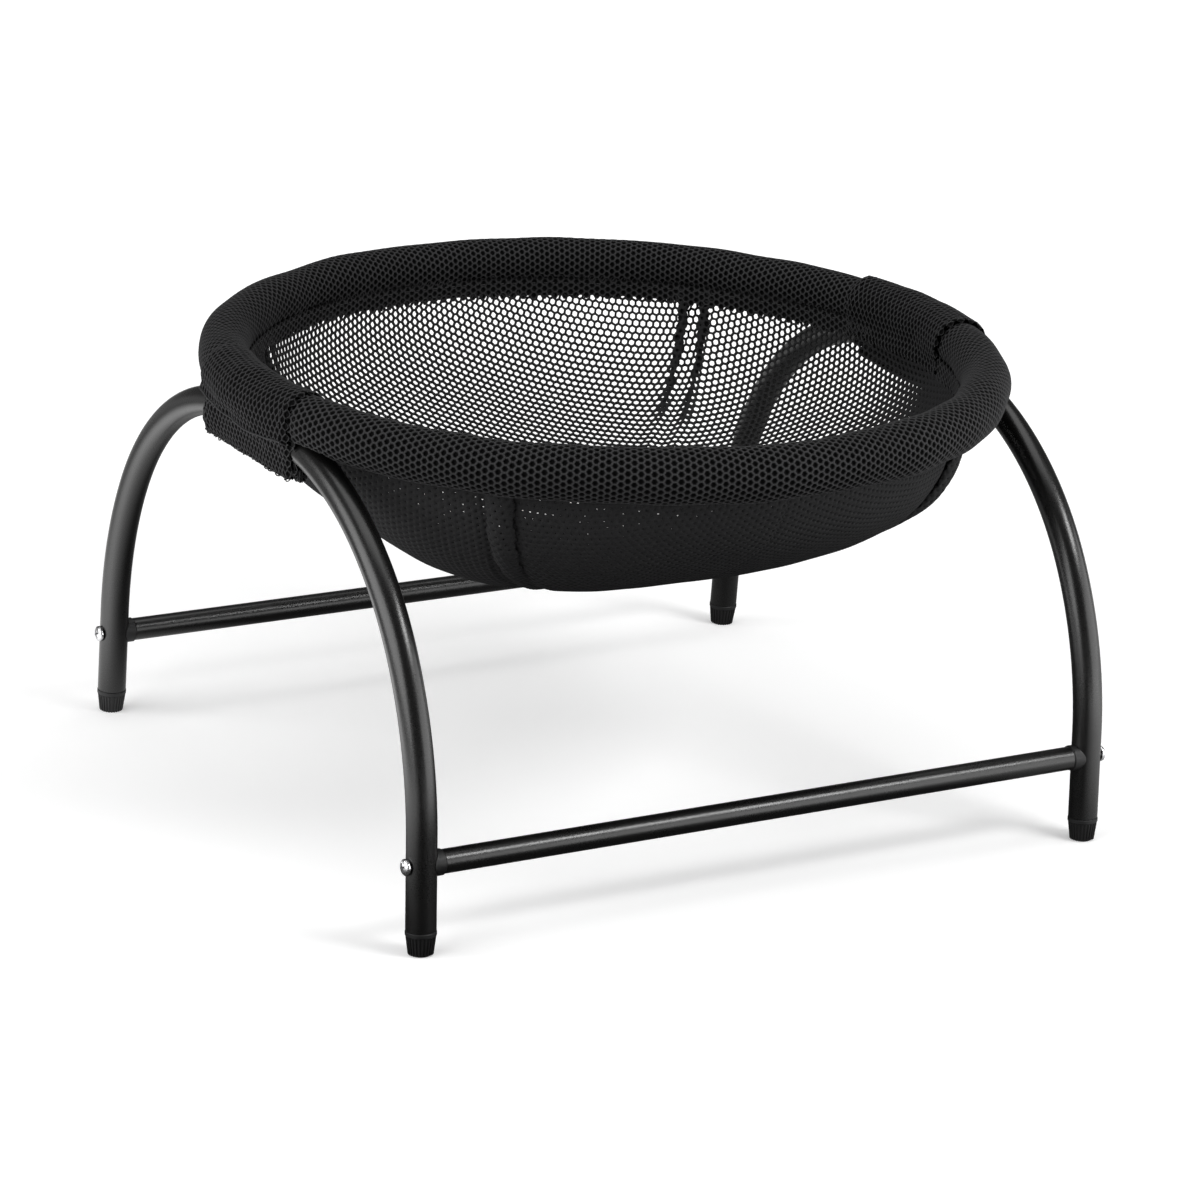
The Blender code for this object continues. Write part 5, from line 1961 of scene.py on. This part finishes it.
CAMERA_TURN = (0.5277, 0.3286, 0.0487)  # radians: yaw, pitch and roll
CAMERA_PLACE = (-1.2617, -2.1718, 0.9582)
LENS, SENSOR = 144.3, 36.0  # millimetres


class BED_OT_stage(bpy.types.Operator):
    """Make the pale floor, the studio light and the camera"""

    bl_idname = "pet_bed.stage"
    bl_label = "Stage"

    def execute(self, context):
        self.floor(context.scene.bed_colours)
        self.lights(context.scene)
        self.camera(context.scene)
        return {"FINISHED"}

    def floor(self, colours):
        """A wide pale floor, lit further for the camera as a cleaned up product shot is."""
        points = [(x, y, 0.0) for x, y in ((-FAR, -FAR), (FAR, -FAR), (FAR, FAR), (-FAR, FAR))]
        made, tree, shader, place = new_finish(
            "studio_floor", colours.floor, roughness=0.9, specular_ior_level=0.1
        )
        seen = add_node(tree, "ShaderNodeLightPath").outputs["Is Camera Ray"]
        tree.links.new(
            mixed(tree, seen, solid(colours.floor), solid(FLOOR_SEEN)),
            shader.inputs["Base Color"],
        )
        away = vector_node(tree, "LENGTH", place).outputs["Value"]
        far = between(tree, away, *FLOOR_GLOW)
        level = vector_node(tree, "DOT_PRODUCT", place, ASIDE).outputs["Value"]
        deep = vector_node(tree, "DOT_PRODUCT", place, AHEAD).outputs["Value"]
        across = math_node(tree, "MULTIPLY_ADD", level, 0.5, 0.5)
        beside = math_node(tree, "MULTIPLY", CARD_LIGHT, stepped(tree, across, CARDS))
        beside = math_node(tree, "MULTIPLY", beside, between(tree, deep, *CARD_FADE))
        behind = between(tree, deep, *REAR_CARD)
        cards = math_node(tree, "MAXIMUM", beside, behind)
        unseen = math_node(tree, "MULTIPLY", math_node(tree, "SUBTRACT", 1.0, seen), cards)
        glow = math_node(tree, "ADD", math_node(tree, "MULTIPLY", seen, far), unseen)
        shader.inputs["Emission Color"].default_value = (1.0, 1.0, 1.0, 1.0)
        tree.links.new(glow, shader.inputs["Emission Strength"])
        mesh = mesh_of("studio_floor", points, ((0, 1, 2, 3),))
        mesh.materials.append(made)
        add_object("studio_floor", mesh)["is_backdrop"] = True

    def lights(self, scene):
        """A white room, a soft box in front above, one overhead and one on each side."""
        world = bpy.data.worlds.new("white_room")
        world.use_nodes = True
        room = world.node_tree
        back = room.nodes["Background"]
        back.inputs["Color"].default_value = (1.0, 1.0, 1.0, 1.0)
        seen = add_node(room, "ShaderNodeLightPath").outputs["Is Camera Ray"]
        room.links.new(between(room, seen, *ROOM_LIGHT, 0.0, 1.0), back.inputs["Strength"])
        scene.world = world
        for name, spot, wide, tall, power in LAMPS:
            lamp = bpy.data.lights.new(name, "AREA")
            lamp.shape, lamp.size, lamp.size_y, lamp.energy = "RECTANGLE", wide, tall, power
            made = add_object(name, lamp)
            made.location = spot
            beam = Vector(LAMP_AIM) - Vector(spot)
            made.rotation_euler = beam.to_track_quat("-Z", "Y").to_euler()
        scene.view_settings.view_transform = "Standard"
        scene.view_settings.look = "None"

    def camera(self, scene):
        """The photograph's view, solved from the frame's tubes, feet and rim."""
        yaw, pitch, roll = CAMERA_TURN
        ahead = Vector((
            math.sin(yaw) * math.cos(pitch), math.cos(yaw) * math.cos(pitch), -math.sin(pitch)
        ))
        level = Vector((math.cos(yaw), -math.sin(yaw), 0.0))
        over = level.cross(ahead)
        right = math.cos(roll) * level + math.sin(roll) * over
        up = -math.sin(roll) * level + math.cos(roll) * over
        lens = bpy.data.cameras.new("camera")
        lens.lens, lens.sensor_width = LENS, SENSOR
        made = add_object("camera", lens)
        turn = Matrix((right, up, -ahead)).transposed().to_4x4()
        made.matrix_world = Matrix.Translation(CAMERA_PLACE) @ turn
        scene.camera = made


class BED_PT_panel(bpy.types.Panel):
    """The bed's pieces and sizes in the sidebar"""

    bl_label = "Elevated pet bed"
    bl_idname = "BED_PT_panel"
    bl_space_type = "VIEW_3D"
    bl_region_type = "UI"
    bl_category = "Pet Bed"

    def draw(self, context):
        for operator in OPERATORS:
            self.layout.operator(operator.bl_idname, text=operator.bl_label)
        for name, group in GROUPS.items():
            box = self.layout.box()
            box.label(text=group.__doc__)
            for key in group.__annotations__:
                box.prop(getattr(context.scene, name), key)


OPERATORS = (
    BED_OT_tubes, BED_OT_joints, BED_OT_feet, BED_OT_rim, BED_OT_net, BED_OT_sleeves, BED_OT_stage,
)


def register():
    """Adds the groups of sizes, the operators and the panel."""
    for group in GROUPS.values():
        bpy.utils.register_class(group)
    for name, group in GROUPS.items():
        setattr(bpy.types.Scene, name, PointerProperty(type=group))
    for made in (*OPERATORS, BED_PT_panel):
        bpy.utils.register_class(made)


def unregister():
    """Takes away the panel, the operators and the groups of sizes."""
    for made in (BED_PT_panel, *reversed(OPERATORS)):
        bpy.utils.unregister_class(made)
    for name in GROUPS:
        delattr(bpy.types.Scene, name)
    for group in reversed(GROUPS.values()):
        bpy.utils.unregister_class(group)


def main():
    """Builds the dressed bed in order, and gathers the frame's box and the dressed bed's box."""
    register()
    bpy.ops.pet_bed.stage()
    bpy.ops.pet_bed.tubes()
    bpy.ops.pet_bed.joints()
    bpy.ops.pet_bed.feet()
    bpy.ops.pet_bed.rim()
    bpy.ops.pet_bed.net()
    bpy.ops.pet_bed.sleeves()
    boxes = {
        name: [list(corner) for corner in box]
        for name, box in (("cad", CAD_BOX), ("visual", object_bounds()))
    }


if __name__ == "__main__":
    main()
